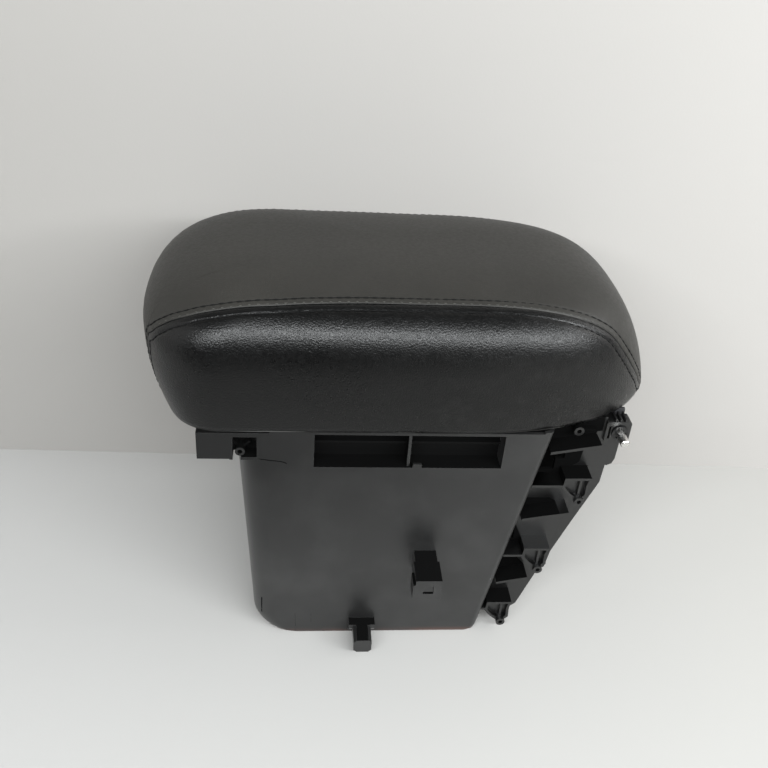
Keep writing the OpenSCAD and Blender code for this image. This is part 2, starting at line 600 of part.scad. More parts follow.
// Clip tower on the side wall: box open below with a square hole in its end
tower_x = 18.2;
tower_z = 82;
tower_wall = 2;
tower_root = 11;
module clip_tower() for (s = [0, 1]) mirror([0, s, 0]) difference() {
    union() {
        block([tower_x - tower_w/2 + 1.2, side_y - 1, tower_z - tower_h], [tower_x + tower_w/2 - 1.2,
            side_y + tower_root, tower_z]);
        block([tower_x - tower_w/2, side_y + tower_root - eps, tower_z - tower_h],
            [tower_x + tower_w/2, side_y + tower_l, tower_z]);
        block([tower_x - tower_w/2 - 1.6, side_y + tower_root + 6, tower_z - tower_h],
            [tower_x - tower_w/2 + tower_wall, side_y + tower_l, tower_z - 4]);
    }
    block([tower_x - tower_w/2 + tower_wall, side_y, tower_z - tower_h - eps],
        [tower_x + tower_w/2 - tower_wall, side_y + tower_l - tower_wall, tower_z - tower_wall]);
    block([tower_x - tower_hole/2, side_y + tower_l - 2*tower_wall, tower_z - tower_h/2 - tower_hole/2],
        [tower_x + tower_hole/2, side_y + tower_l + eps, tower_z - tower_h/2 + tower_hole/2]);
}
// Locating peg with cut corners and a short wing at its root
peg_x = -21.8;
peg_z = 16;
peg_cut = 2.2;
wing_l = 7;
wing_w = 3;
module web_x(line, x0, x1) translate([x0, 0, 0]) rotate([90, 0, 90]) linear_extrude(x1 - x0) polygon(line);
module peg() for (s = [0, 1]) mirror([0, s, 0]) {
    w = peg_w/2;
    z0 = peg_z - peg_h;
    slab([[w, z0 + peg_cut], [w, peg_z - peg_cut], [w - peg_cut, peg_z], [peg_cut - w, peg_z], [-w,
        peg_z - peg_cut],
        [-w, z0 + peg_cut], [peg_cut - w, z0], [w - peg_cut, z0]] + [for (i = [1:8]) [peg_x, 0]],
        side_y - 1, side_y + peg_l);
    web_x([[side_y - 1, peg_z], [side_y - 1, z0], [side_y + 1, z0], [side_y + wing_l, peg_z - 3.5],
        [side_y + wing_l, peg_z]], peg_x - w - wing_w, peg_x + w + wing_w);
}

// Screws between the bin's rear wall and the carrier, square to the leaning wall
wall_angle = atan((bin_rear_top - bin_rear_foot)/bin_h);
// Heights on the carrier are given for a bin of this height and follow the bin's own
drawn_bin_h = 182.6;
function up(z) = z*bin_h/drawn_bin_h;
carrier_screw_z = [up(36), up(148)];
carrier_screw_y = 50;
module carrier_places() for (z = carrier_screw_z, y = [-1, 1]) translate([bin_rear(z), y*carrier_screw_y,
    z])
    rotate([0, 90 + wall_angle, 0]) children();

// One-piece moulded bin
module bin_box() color([0.3, 0.3, 0.31]) difference() {
    union() {
        difference() {
            union() {
                bin_solid(0, 0, bin_h);
                flange();
                clip_tower();
                peg();
            }
            bin_solid(bin_t, floor_t, bin_h + eps);
        }
        recess_box();
        window_box();
        carrier_places() translate([0, 0, -bin_t - 6]) cylinder(d = 9, h = 6 + bin_t/2);
    }
    difference() {
        window_cut();
        window_ribs();
    }
    difference() {
        recess_cut();
        recess_bosses();
    }
    twin_rod(recess_boss[0], recess_boss[1], boss_hole, side_y - recess_d, side_y);
    carrier_places() translate([0, 0, -bin_t - 5]) cylinder(d = liner_screw_d + 2*thread_gap,
        h = bin_t + 6);
    striker_places() cylinder(d = liner_screw_d + 2*thread_gap, h = screw_deep);
    for (s = [-1, 1]) translate([flange_x + flange_l/2, s*stop_y, flange_z - flange_t - eps])
        cylinder(d = stop_plug_d + 2*run_gap, h = flange_t + 2*eps);
    twin([flange_x - eps, recess_x0 + recess_l + 8], [side_y - corner_r, side_y + eps], [flange_z,
        bin_h + eps]);
    twin([36, 86], [side_y - bin_t - eps, side_y + eps], [bin_h - 1.1, bin_h + eps]);
}

// Rubber mat with shallow grooves
mat_t = 2;
mat_gap = 1;
module floor_mat() color([0.08, 0.08, 0.08]) difference() {
    translate([0, 0, floor_t + seat_gap]) linear_extrude(mat_t) polygon(bin_line(floor_t + seat_gap,
        bin_t + mat_gap));
    for (i = [-3:3]) translate([-10, 18*i, floor_t + seat_gap + mat_t])
        cube([100, 4, 1.2], center = true);
}

// Rear carrier
wall_gap = 0.3;
cheek_out = cheek_w/2;
shelf_out = cheek_out + shelf_d;
function wall_x(z) = lean(bin_rear_foot, bin_rear_top, z) + wall_gap;
carrier_z0 = up(6);
carrier_z1 = bin_h - 2.6;
// Rear edge of the cheeks as steps from the hinge axis
cheek_edge = [[-50, -166.5], [-45, -162], [-34.5, -129.5], [-29.3, -124], [-27.3, -109], [-16.8, -79],
    [-4, -44],
    [-2.5, -12]];
cheek_line = concat([[wall_x(carrier_z0), carrier_z0]], [for (p = cheek_edge) [p[0] + hinge_x,
    up(p[1]) + hinge_z]],
    [[hinge_x - 4, hinge_z + 4], [hinge_x - ear_s/2, carrier_z1], [wall_x(carrier_z1), carrier_z1]]);
// Screw towers: top left corner of each
towers = [[106.9, up(142.6)], [88.9, up(79.5)], [69.5, up(26.2)]];
shield = [[0, 0], [18.2, 0], [17, -6], [17.6, -15], [12, -21], [4.5, -14.7], [-0.7, -8.7]];
shield_core = [[1.8, -1.8], [16.2, -1.8], [15.2, -6.2], [15.6, -14], [12, -17.6], [5.6, -13.2], [1.2, -8]];
shield_boss = [12, -18.6];
shield_deep = 3.5;
// Sloping shelves: both ends of each
shelves = [[93.2, up(164.4), 126, up(170.6)], [83, up(107), 114.7, up(112.8)], [73.6, up(47), 95.4,
    up(51.6)]];
cheek_window = [[[4, -3], [16, -3], [16, 6], [22, 6], [22, 16], [4, 16]], [[4, -3], [8, -3], [8, 19], [4,
    17]]];
module shield_at(p, line, y0, y1) twin_slab([for (q = line) p + q], y0, y1);
module tower_unit(p) {
    difference() {
        shield_at(p, shield, cheek_out - 1, shelf_out);
        shield_at(p, shield_core, shelf_out - shield_deep, shelf_out + eps);
    }
    twin([p[0] + 10.6, p[0] + 12.2], [cheek_out - 1, shelf_out - 1], [p[1] - 16, p[1] - 1]);
    twin_rod(p[0] + shield_boss[0], p[1] + shield_boss[1], boss_d, cheek_out - 1, shelf_out + 2);
    shelf_z = p[1] - 5.9;
    twin([wall_x(shelf_z), p[0] + 0.4], [cheek_out - 1, shelf_out], [shelf_z - 1.8, shelf_z]);
    for (x = [wall_x(shelf_z) + 1, max(p[0] - 4, wall_x(shelf_z))], s = [0, 1]) mirror([0, s, 0])
        web_x([[cheek_out - 1, shelf_z], [shelf_out - 2, shelf_z], [cheek_out - 1, shelf_z - 11]], x,
            x + 1.8);
}
function rounded_square(s, r) = [for (c = [[1, 1, 0], [-1, 1, 90], [-1, -1, 180], [1, -1, 270]], i = [0:4])
    let (a = c[2] + 22.5*i) [c[0]*(s/2 - r) + r*cos(a), c[1]*(s/2 - r) + r*sin(a)]];
ear_r = 1.6;
ear_shift = -1.2;
top_boss = [112, up(175.5)];
top_boss_l = 6;
// Raised part of the cheeks under the lid's rear end
cheek_rise = [for (p = [[112, 179], [131.5, 179], [131.5, 183], [112, 183]]) [p[0], up(p[1])]];
// Middle web: rear edge
mid_web = [[88, 12], [99, 41], [106, 60], [121, 93], [133, 128], [134, 159]];
module rear_carrier() color([0.28, 0.28, 0.29]) difference() {
    union() {
        difference() {
            twin_slab(cheek_line, cheek_out - cheek_t, cheek_out);
            for (i = [0, 1]) let (z = towers[i][1]) twin_slab([for (q = cheek_window[i]) [wall_x(z),
                z] + q],
                cheek_out - cheek_t - eps, cheek_out + eps);
        }
        slab([[wall_x(carrier_z0), carrier_z0], [wall_x(carrier_z0) + cheek_t, carrier_z0],
            [wall_x(carrier_z1 - 3) + cheek_t, carrier_z1 - 3], [wall_x(carrier_z1 - 3), carrier_z1 - 3]],
            -cheek_out + eps, cheek_out - eps);
        for (b = [[up(158), 132], [up(101), 119], [up(41), 100]])
            block([wall_x(b[0] + cheek_t), eps - cheek_out, b[0]], [b[1], cheek_out - eps, b[0] + cheek_t]);
        twin_slab(concat([[wall_x(up(12)), up(12)]], [for (p = mid_web) [p[0], up(p[1])]],
            [[wall_x(up(159)), up(159)]]), 24, 24 + cheek_t - 0.4);
        for (p = towers) tower_unit(p);
        for (b = shelves) twin_slab([[b[0], b[1]], [b[2], b[3]], [b[2], b[3] - 2], [b[0], b[1] - 2]],
            cheek_out - 1, shelf_out);
        twin_slab([for (q = rounded_square(ear_s, ear_r)) [hinge_x + ear_shift, hinge_z] + q], ear_in,
            ear_out);
        for (x = [-4.2, -0.9, 2.4]) twin([hinge_x + x, hinge_x + x + 1], [ear_in, ear_out - 0.6],
            [hinge_z + ear_s/2 - 1, hinge_z + ear_s/2 + 1.9]);
        twin_slab([for (q = [[-8, -4], [3, -4], [2.6, -24], [1.2, -28], [-1.8, -29.6], [-8, -29]])
            [hinge_x, hinge_z] + q], cheek_out - cheek_t - 1, cheek_out - 0.4);
        twin_rod(top_boss[0], top_boss[1], boss_d, cheek_out - 1, cheek_out + top_boss_l);
        twin_slab(cheek_rise, cheek_out - cheek_t, cheek_out);
        twin([top_boss[0] + 2, top_boss[0] + 12], [cheek_out - 1, cheek_out + 4], [top_boss[1] - 0.8,
            top_boss[1] + 0.8]);
    }
    twin_rod(hinge_x, hinge_z, rod_d + 2*run_gap, ear_in - eps, ear_out + eps);
    twin([hinge_x + ear_shift - ear_s/2 + 1.8, hinge_x + ear_shift - ear_s/2 + 3.2], [ear_out - 3,
        ear_out + eps],
        [hinge_z - 5, hinge_z + 5]);
    for (p = towers) twin_rod(p[0] + shield_boss[0], p[1] + shield_boss[1], boss_hole, cheek_out,
        shelf_out + 2 + eps);
    twin_rod(top_boss[0], top_boss[1], boss_hole, cheek_out - eps, cheek_out + top_boss_l + eps);
    carrier_places() cylinder(d = liner_screw_d + 0.6, h = cheek_t + 2);
}
module carrier_screws() color([0.62, 0.62, 0.6]) carrier_places()
    translate([0, 0, (cheek_t + wall_gap)*cos(wall_angle) + 1.82]) mirror([0, 0, 1]) pan_screw(9);

bin_box();
floor_mat();
rear_carrier();
carrier_screws();
hinge_rod();
rod_clips();
striker();
striker_screws();
bump_stops();
cover_top();
cover_side_near();
cover_side_far();
lid_foam();
lid_frame();
lid_liner();
liner_screws();
hinge_bracket();
bracket_screws();
hinge_bushes();
latch_housing();
latch_lever();
latch_pin();
latch_spring();
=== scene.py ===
"""Car armrest: a sewn leatherette lid hinged on a moulded bin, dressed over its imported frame."""

import json
import math

import bmesh
import bpy
import numpy as np
from bpy.props import FloatProperty, FloatVectorProperty, IntProperty, PointerProperty
from mathutils import Matrix, Vector, kdtree, noise


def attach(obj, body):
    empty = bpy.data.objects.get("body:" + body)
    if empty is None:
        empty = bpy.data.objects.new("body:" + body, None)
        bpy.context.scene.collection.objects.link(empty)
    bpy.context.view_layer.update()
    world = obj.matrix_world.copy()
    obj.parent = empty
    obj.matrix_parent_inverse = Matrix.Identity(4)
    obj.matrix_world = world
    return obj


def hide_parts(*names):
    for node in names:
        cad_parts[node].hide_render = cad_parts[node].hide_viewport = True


bl_info = {
    "name": "Car armrest",
    "version": (1, 0, 0),
    "blender": (4, 5, 0),
    "location": "View3D > Sidebar > Armrest",
    "description": "Builds the sewn lid, the moulded bin and the stage round the packed armrest",
    "category": "Object",
}

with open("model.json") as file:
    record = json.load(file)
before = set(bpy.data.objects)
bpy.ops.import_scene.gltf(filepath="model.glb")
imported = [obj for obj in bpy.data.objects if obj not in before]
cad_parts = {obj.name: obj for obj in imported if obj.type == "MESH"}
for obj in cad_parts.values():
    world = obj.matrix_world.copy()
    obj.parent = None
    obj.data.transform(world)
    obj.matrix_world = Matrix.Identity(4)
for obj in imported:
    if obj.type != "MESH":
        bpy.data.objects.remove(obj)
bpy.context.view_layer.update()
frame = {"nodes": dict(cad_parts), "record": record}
MM = 0.001
UP = np.array([0.0, 0.0, 1.0])

# Lid form in millimetres, as in the part's source
LID_HALF_WIDTH = 88.7
LID_REAR, LID_FRONT = 169.0, 169.0
REAR_START, FRONT_START = 25.0, 114.0
PLAN_REAR, PLAN_FRONT = 2.3, 2.33
FOOT_Z, CROWN_Z = 184.0, 272.0
# Share of the levels that the lid's bulge takes up, above its foot
LOW_SHARE = 0.2
# Powers of the form above the bulge, then the bulge's height and inset: at the side, rear and front
POWER_R, POWER_Z = (3.0, 6.6, 5.2), (3.8, 1.0, 2.1)
BULGE_Z, BULGE_IN = (24.8, 1.0, 45.0), (1.3, 1.6, 11.0)

# Distance of a seam from the centre plane at mid length, and its shares at places along the lid
SEAM = 67.0
SEAM_X = (-172, -168, -165, -162, -156.8, -147.4, -132.8, -115.5, -89.9, -64, -29)
SEAM_X += (22.8, 75.7, 94.3, 110.5, 121.9, 132.4, 142.5, 155.4, 160.6, 166, 169)
SEAM_SHARE = (0.4, 0.58, 0.68, 0.76, 0.882, 0.982, 1.046, 1.064, 1.051, 1.022, 1.003)
SEAM_SHARE += (1, 0.987, 0.97, 0.94, 0.908, 0.876, 0.808, 0.646, 0.545, 0.46, 0.42)
# Part of a station over which a seam runs down to the foot
RAMP = 0.013
# Highest levels that a seam and a sewn row may reach
SEAM_TOP, ROW_TOP = 0.999, 0.99
HALVINGS = 26

# Sewn rows by their distance from the seam over the leather, and how a row is found
ROW_STEPS = {"seam": 0.0, "light": -1.2, "top": -4.3, "side": 4.9}
ROW_POINT_GAP = 0.5
ROW_MOVES, ROW_SMOOTHINGS = 6, 3
PROBE = 1e-4
# Stations at which the seam is worked out
FINE = np.linspace(0, 3, 6001)

# Grooves as depth and half width in millimetres
SEAM_GROOVE, SEAM_HOLLOW = (0.45, 0.7), (0.1, 2.2)
TOP_GROOVE, SIDE_GROOVE = (0.38, 0.7), (0.42, 0.75)
# Uneven leather as depth and length of its waves: puckers beside the rows, soft waves all over
PUCKER, PUCKER_LENGTH, PUCKER_REACH = 0.12, (7, 7, 7), 6
WAVE, WAVE_LENGTH = 0.3, (55, 40, 45)


# ---------------- lid form
def station(s):
    """Plan stations of one half of the lid, as x, y and their shares of the rear and the front.

    s runs from 0 to 1 round the rear, to 2 along the side and to 3 round the front.
    """
    s = np.atleast_1d(np.asarray(s, float))
    rear, front = np.radians(90 * np.clip(s, 0, 1)), np.radians(90 * np.clip(s - 2, 0, 1))
    cr, sr = np.clip(np.cos(rear), 0, 1), np.sin(rear)
    cf, sf = np.clip(np.cos(front), 0, 1), np.sin(front)
    side = np.clip(s - 1, 0, 1)
    x = REAR_START + (LID_REAR - REAR_START) * cr ** (2 / PLAN_REAR)
    x = x - (REAR_START + FRONT_START) * side
    x = x - (LID_FRONT - FRONT_START) * sf ** (2 / PLAN_FRONT)
    y = LID_HALF_WIDTH * np.where(s <= 1, sr ** (2 / PLAN_REAR), cf ** (2 / PLAN_FRONT))
    return np.stack([x, y, np.where(s < 1, cr**2, 0), np.where(s > 2, sf**2, 0)], -1)


def mixed(v, q):
    """Value at stations q, mixed from those of the side, the rear and the front."""
    return v[0] * (1 - q[..., 2] - q[..., 3]) + v[1] * q[..., 2] + v[2] * q[..., 3]


def lid_point(q, level):
    """Points of the lid's outer surface at stations q, at levels from 0 (foot) to 1 (crown)."""
    bulge = mixed(BULGE_Z, q)
    k = np.clip(level / LOW_SHARE, 0, 1)
    f = np.radians(90 * np.clip((level - LOW_SHARE) / (1 - LOW_SHARE), 0, 1))
    inset = mixed(BULGE_IN, q) * (1 - k) ** 2
    low = level <= LOW_SHARE
    drawn_back = 1 - inset / np.hypot(q[..., 0], q[..., 1])
    r = np.where(low, drawn_back, np.clip(np.cos(f), 0, 1) ** (2 / mixed(POWER_R, q)))
    rise = bulge + (CROWN_Z - FOOT_Z - bulge) * np.sin(f) ** (2 / mixed(POWER_Z, q))
    z = np.where(low, bulge * k, rise)
    return np.stack([q[..., 0] * r, q[..., 1] * r, FOOT_Z + z], -1)


def surface(s, level):
    return lid_point(station(s), level)


def seam_y(x):
    """Seam's distance from the centre plane at x, by a smooth curve through the stated places."""
    a, b = np.asarray(SEAM_X, float), np.asarray(SEAM_SHARE, float)
    rise = np.diff(b) / np.diff(a)
    even = rise[1:] * rise[:-1]
    inner = np.where(even > 0, 2 * even / np.where(even > 0, rise[1:] + rise[:-1], 1), 0)
    slope = np.concatenate([rise[:1], inner, rise[-1:]])
    i = np.clip(np.searchsorted(a, x) - 1, 0, len(a) - 2)
    h = a[i + 1] - a[i]
    t = np.clip((x - a[i]) / h, 0, 1)
    start = (2 * t**3 - 3 * t**2 + 1) * b[i] + (t**3 - 2 * t**2 + t) * h * slope[i]
    return SEAM * (start + (3 * t**2 - 2 * t**3) * b[i + 1] + (t**3 - t**2) * h * slope[i + 1])


def seam_levels(s):
    """Level at which the seam crosses each station, 0 beyond its feet, and the feet's stations."""
    q = station(s)
    lo, hi = np.full(len(s), LOW_SHARE), np.full(len(s), SEAM_TOP)
    p = lid_point(q, lo)
    live = np.abs(p[:, 1]) > seam_y(p[:, 0])
    for _ in range(HALVINGS):
        mid = (lo + hi) / 2
        p = lid_point(q, mid)
        out = np.abs(p[:, 1]) > seam_y(p[:, 0])
        lo, hi = np.where(out, mid, lo), np.where(out, hi, mid)
    level = np.where(live, lo, 0)
    ends = s[live][0], s[live][-1]
    for end, way in ((ends[0], 1), (ends[1], -1)):
        near = live & (np.abs(s - end) < RAMP)
        top = np.interp(end + way * RAMP, s[live], level[live])
        level[near] = top * np.abs(s[near] - end) / RAMP
    return level, ends


def run_along(points):
    """Length along a line from its first point to each point."""
    steps = np.linalg.norm(np.diff(points, axis=0), axis=1)
    return np.concatenate([[0], np.cumsum(steps)])


def row_line(away):
    """A sewn row over one half, from foot to foot, at a distance from the seam, in even steps."""
    level, ends = seam_levels(FINE)
    on = (FINE >= ends[0]) & (FINE <= ends[1])
    s, level = FINE[on], np.maximum(level[on], 0)
    run = run_along(surface(s, level))
    at = np.arange(0, run[-1], ROW_POINT_GAP)
    s, level = np.interp(at, run, s), np.interp(at, run, level)
    along = np.gradient(surface(s, level), axis=0)
    for _ in range(ROW_MOVES):
        p = surface(s, level)
        by_s = (surface(s + PROBE, level) - p) / PROBE
        by_level = (surface(s, level + PROBE) - p) / PROBE
        across = np.cross(np.cross(by_s, by_level), along)
        length = np.linalg.norm(across, axis=1, keepdims=True)
        across *= (away / ROW_MOVES * np.sign(across[:, 1:2])) / length
        a, b, c = (by_s * by_s).sum(1), (by_s * by_level).sum(1), (by_level * by_level).sum(1)
        u, v = (across * by_s).sum(1), (across * by_level).sum(1)
        size = a * c - b * b
        s = s + (c * u - b * v) / size
        level = np.clip(level + (a * v - b * u) / size, 0, ROW_TOP)
    p = surface(s, level)
    for _ in range(ROW_SMOOTHINGS):
        p[1:-1] = (p[:-2] + 2 * p[1:-1] + p[2:]) / 4
    return p


def tree_of(points):
    tree = kdtree.KDTree(len(points))
    for i, p in enumerate(points):
        tree.insert(p, i)
    tree.balance()
    return tree


SEAM_ENDS = seam_levels(FINE)[1]
ROWS = {name: row_line(away) for name, away in ROW_STEPS.items()}
ROW_TREES = {name: tree_of(line) for name, line in ROWS.items()}


def groove(depth, half_width, distance):
    return depth * math.exp(-((distance / half_width) ** 2))


def uneven(p, lengths):
    """Noise at a point, with waves of the given lengths along x, y and z."""
    return noise.noise(Vector([c / length for c, length in zip(p, lengths)]))


def sewn_depth(p):
    """How far the leather is drawn in at a point, by the seam, the topstitches and soft waves."""
    v = Vector((p[0], abs(p[1]), p[2]))
    d, a, b = (ROW_TREES[name].find(v)[2] for name in ("seam", "top", "side"))
    seam = groove(*SEAM_GROOVE, d) + groove(*SEAM_HOLLOW, d)
    rows = groove(*TOP_GROOVE, a) + groove(*SIDE_GROOVE, b)
    near = groove(1, PUCKER_REACH, min(a, b))
    return seam + rows + PUCKER * near * uneven(p, PUCKER_LENGTH) + WAVE * uneven(p, WAVE_LENGTH)


# ---------------- mesh helpers
# Easing of edges: least angle, steps, and the angle past which an edge stays sharp, in degrees
EASE_ANGLE, EASE_STEPS, SHARP_ANGLE = 32, 2, 40
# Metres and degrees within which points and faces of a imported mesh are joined
SAME_POINT, SAME_FACE = 1e-6, 0.6
# How much the large faces lead the normals beside an eased edge
FULL_WEIGHT = 100
# Order of the finishes on an eased piece: its own, painted highlight on edges, painted shade
HIGHLIGHT_FINISH, SHADED_FINISH = 1, 2


def new_object(name, mesh, body, material):
    obj = bpy.data.objects.new(name, mesh)
    bpy.context.scene.collection.objects.link(obj)
    mesh.materials.clear()
    mesh.materials.append(material)
    if body:
        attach(obj, body)
    return obj


def mesh_of(name, points, faces, smooth=True):
    mesh = bpy.data.meshes.new(name)
    mesh.from_pydata([tuple(p) for p in points], [], faces)
    if smooth:
        mesh.shade_smooth()
    mesh.update()
    return mesh


def outward(mesh):
    """Turns the faces of a closed mesh outwards."""
    bm = bmesh.new()
    bm.from_mesh(mesh)
    bmesh.ops.recalc_face_normals(bm, faces=bm.faces)
    bm.to_mesh(mesh)
    bm.free()
    mesh.shade_smooth()


def evaluated_mesh(obj):
    """A new mesh with what an object's modifiers make of it."""
    graph = bpy.context.evaluated_depsgraph_get()
    return bpy.data.meshes.new_from_object(obj.evaluated_get(graph))


def bake(obj):
    """Turns an object's modifiers into its mesh."""
    mesh, old = evaluated_mesh(obj), obj.data
    obj.modifiers.clear()
    obj.data = mesh
    bpy.data.meshes.remove(old)


def plain_copy(node):
    """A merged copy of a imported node's mesh, with its flat faces joined."""
    mesh = frame["nodes"][node].data.copy()
    bm = bmesh.new()
    bm.from_mesh(mesh)
    bmesh.ops.remove_doubles(bm, verts=bm.verts, dist=SAME_POINT)
    flat = math.radians(SAME_FACE)
    bmesh.ops.dissolve_limit(bm, angle_limit=flat, verts=bm.verts, edges=bm.edges)
    bm.to_mesh(mesh)
    bm.free()
    return mesh


def eased(node, name, body, material, width, highlight):
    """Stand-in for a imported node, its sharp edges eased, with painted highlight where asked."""
    obj = new_object(name, plain_copy(node), None, material)
    bevel = obj.modifiers.new("ease", "BEVEL")
    bevel.width = width * MM
    bevel.segments = EASE_STEPS
    bevel.limit_method = "ANGLE"
    bevel.angle_limit = math.radians(EASE_ANGLE)
    if highlight:
        obj.data.materials.append(highlight)
        bevel.material = HIGHLIGHT_FINISH
    bake(obj)
    obj.data.shade_smooth()
    obj.data.set_sharp_from_angle(angle=math.radians(SHARP_ANGLE))
    even = obj.modifiers.new("even_normals", "WEIGHTED_NORMAL")
    even.mode = "FACE_AREA"
    even.weight = FULL_WEIGHT
    even.keep_sharp = True
    bake(obj)
    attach(obj, body)
    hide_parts(node)
    return obj


# ---------------- materials
# Near black matt colour that stands in for painted shade
SHADE_BLACK = (0.004, 0.004, 0.004)
LEATHER_DUST_AND_LIGHT = (0.09, 0.088, 0.085)
BIN_HAZE = (0.15, 0.15, 0.148)
RUBBED_RED = (0.16, 0.07, 0.05)
SCUFF_BLACK = (0.006, 0.006, 0.006)
SPECK_PALE = (0.35, 0.35, 0.34)
# How far the leather's grain cells are bent out of their places, in metres
GRAIN_BEND = (0.0016, 0.0016, 0.0016)


def times(colour, share):
    """A colour with each channel scaled by one share."""
    return tuple(share * c for c in colour)


def add_node(tree, kind, inputs=None, **settings):
    """A new node, with each input linked or set; a colour is set with its alpha."""
    node = tree.nodes.new(kind)
    for key, value in settings.items():
        setattr(node, key, value)
    for key, value in (inputs or {}).items():
        socket = node.inputs[key]
        if isinstance(value, bpy.types.NodeSocket):
            tree.links.new(value, socket)
        else:
            socket.default_value = (*value, 1) if socket.type == "RGBA" else value
    return node


class Shader:
    """Adds and links the nodes of one material."""

    def __init__(self, name):
        self.material = bpy.data.materials.new(name)
        self.material.use_nodes = True
        self.tree = self.material.node_tree
        self.tree.nodes.clear()
        self.out = self.tree.nodes.new("ShaderNodeOutputMaterial")
        self.place = self.add("ShaderNodeTexCoord").outputs["Object"]

    def add(self, kind, inputs=None, **settings):
        return add_node(self.tree, kind, inputs, **settings)

    def scaled(self, size):
        return self.add("ShaderNodeMapping", {"Vector": self.place, "Scale": size}).outputs[0]

    def noise(self, scale, detail=3.0, rough=0.5, vector=None):
        inputs = {"Vector": vector or self.place, "Scale": scale, "Detail": detail}
        return self.add("ShaderNodeTexNoise", inputs | {"Roughness": rough}).outputs["Fac"]

    def cells(self, scale, smooth=None, vector=None):
        inputs = {"Vector": vector or self.place, "Scale": scale}
        if smooth is not None:
            inputs["Smoothness"] = smooth
        feature = "F1" if smooth is None else "SMOOTH_F1"
        return self.add("ShaderNodeTexVoronoi", inputs, feature=feature).outputs["Distance"]

    def span(self, value, a, b, c=0.0, d=1.0):
        """Takes a value from the range a to b over to the range c to d, and keeps it in there."""
        inputs = {"Value": value, "From Min": a, "From Max": b, "To Min": c, "To Max": d}
        return self.add("ShaderNodeMapRange", inputs, clamp=True).outputs[0]

    def math(self, how, a, b=0.0):
        return self.add("ShaderNodeMath", {0: a, 1: b}, operation=how).outputs[0]

    def vector(self, how, a, b):
        return self.add("ShaderNodeVectorMath", {0: a, 1: b}, operation=how).outputs[0]

    def mix(self, share, a, b):
        """Colour a with a share of colour b over it."""
        return self.add("ShaderNodeMix", {0: share, 6: a, 7: b}, data_type="RGBA").outputs[2]

    def varied(self, colour, value, a, b, low, high):
        """A colour that goes from one share of itself to another while a value goes from a to b."""
        return self.mix(self.span(value, a, b), times(colour, low), times(colour, high))

    def bump(self, height, depth):
        """Normals of a face that is uneven by a depth in millimetres."""
        inputs = {"Height": height, "Distance": depth * MM, "Strength": 1.0}
        return self.add("ShaderNodeBump", inputs).outputs[0]

    def axis(self, which):
        """One coordinate of the place, in metres."""
        return self.add("ShaderNodeSeparateXYZ", {"Vector": self.place}).outputs[which]

    def finish(self, **inputs):
        """The material, with the inputs of its one surface named with underscores."""
        named = {key.replace("_", " "): value for key, value in inputs.items()}
        surface_node = self.add("ShaderNodeBsdfPrincipled", named)
        self.tree.links.new(surface_node.outputs[0], self.out.inputs[0])
        return self.material

    def finish_with_painted_shade(self, share, tone, gloss, normal, specular):
        """The material, as plastic that gives way by a share to painted shade, a black matt face."""
        inputs = {"Base Color": tone, "Roughness": gloss, "Normal": normal}
        inputs["Specular IOR Level"] = specular
        lit = self.add("ShaderNodeBsdfPrincipled", inputs).outputs[0]
        painted_shade = self.add("ShaderNodeBsdfDiffuse", {"Color": SHADE_BLACK}).outputs[0]
        both = self.add("ShaderNodeMixShader", {0: share, 1: lit, 2: painted_shade}).outputs[0]
        self.tree.links.new(both, self.out.inputs[0])
        return self.material


def leather(name, colour, rough, grain, depth):
    """Embossed leatherette: cell grain with fine pores, uneven gloss, dusting and painted light."""
    m = Shader(name)
    bend_inputs = {"Vector": m.place, "Scale": 260.0, "Detail": 2.0}
    bend = m.add("ShaderNodeTexNoise", bend_inputs).outputs["Color"]
    place = m.vector("ADD", m.place, m.vector("MULTIPLY", bend, GRAIN_BEND))
    cell = m.cells(1 / (grain * MM), 0.35, place)
    pore = m.cells(1 / (grain * 0.45 * MM), 0.3, place)
    height = m.math("ADD", m.math("MULTIPLY", cell, -1.0), m.math("MULTIPLY", pore, -0.35))
    normal = m.bump(height, depth)
    cloud = m.noise(14.0, 4.0)
    fine = m.noise(420.0, 2.0)
    tone = m.varied(colour, cloud, 0.3, 0.75, 0.8, 1.25)
    # Dust in patches and painted light: the pale tone grows toward the rear, where light falls
    dust_and_light = m.span(m.noise(95.0, 6.0, 0.7), 0.5, 0.86, 0.0, 0.06)
    dust_and_light = m.math("MULTIPLY", dust_and_light, m.span(m.axis("X"), -0.08, 0.14, 0.0, 2.2))
    tone = m.mix(dust_and_light, tone, LEATHER_DUST_AND_LIGHT)
    gloss = m.span(cloud, 0.25, 0.75, rough - 0.04, rough + 0.05)
    gloss = m.math("ADD", gloss, m.span(fine, 0.3, 0.7, -0.04, 0.05))
    return m.finish(Base_Color=tone, Roughness=gloss, Normal=normal, Specular_IOR_Level=0.32)


def moulded(name, colour, rough, texture=0.5, depth=0.03, specular=0.5, shaded=None):
    """Moulded plastic or rubber with a fine etched face, faint flow marks and handling marks.

    texture is the width of an etched cell and depth its height, in millimetres. shaded gives the
    share of painted shade at each place.
    """
    m = Shader(name)
    grain = m.cells(1 / (texture * MM), 0.5)
    flow = m.noise(9.0, 3.0, 0.5, m.scaled((1.0, 1.0, 0.35)))
    rub = m.noise(60.0, 5.0, 0.65, m.scaled((0.5, 1.0, 1.6)))
    tone = m.varied(colour, flow, 0.3, 0.7, 0.88, 1.12)
    gloss = m.span(flow, 0.3, 0.7, rough - 0.05, rough + 0.04)
    gloss = m.math("ADD", gloss, m.span(rub, 0.5, 0.8, 0.0, 0.08))
    normal = m.bump(grain, depth)
    if shaded:
        return m.finish_with_painted_shade(shaded(m), tone, gloss, normal, specular)
    return m.finish(Base_Color=tone, Roughness=gloss, Normal=normal, Specular_IOR_Level=specular)
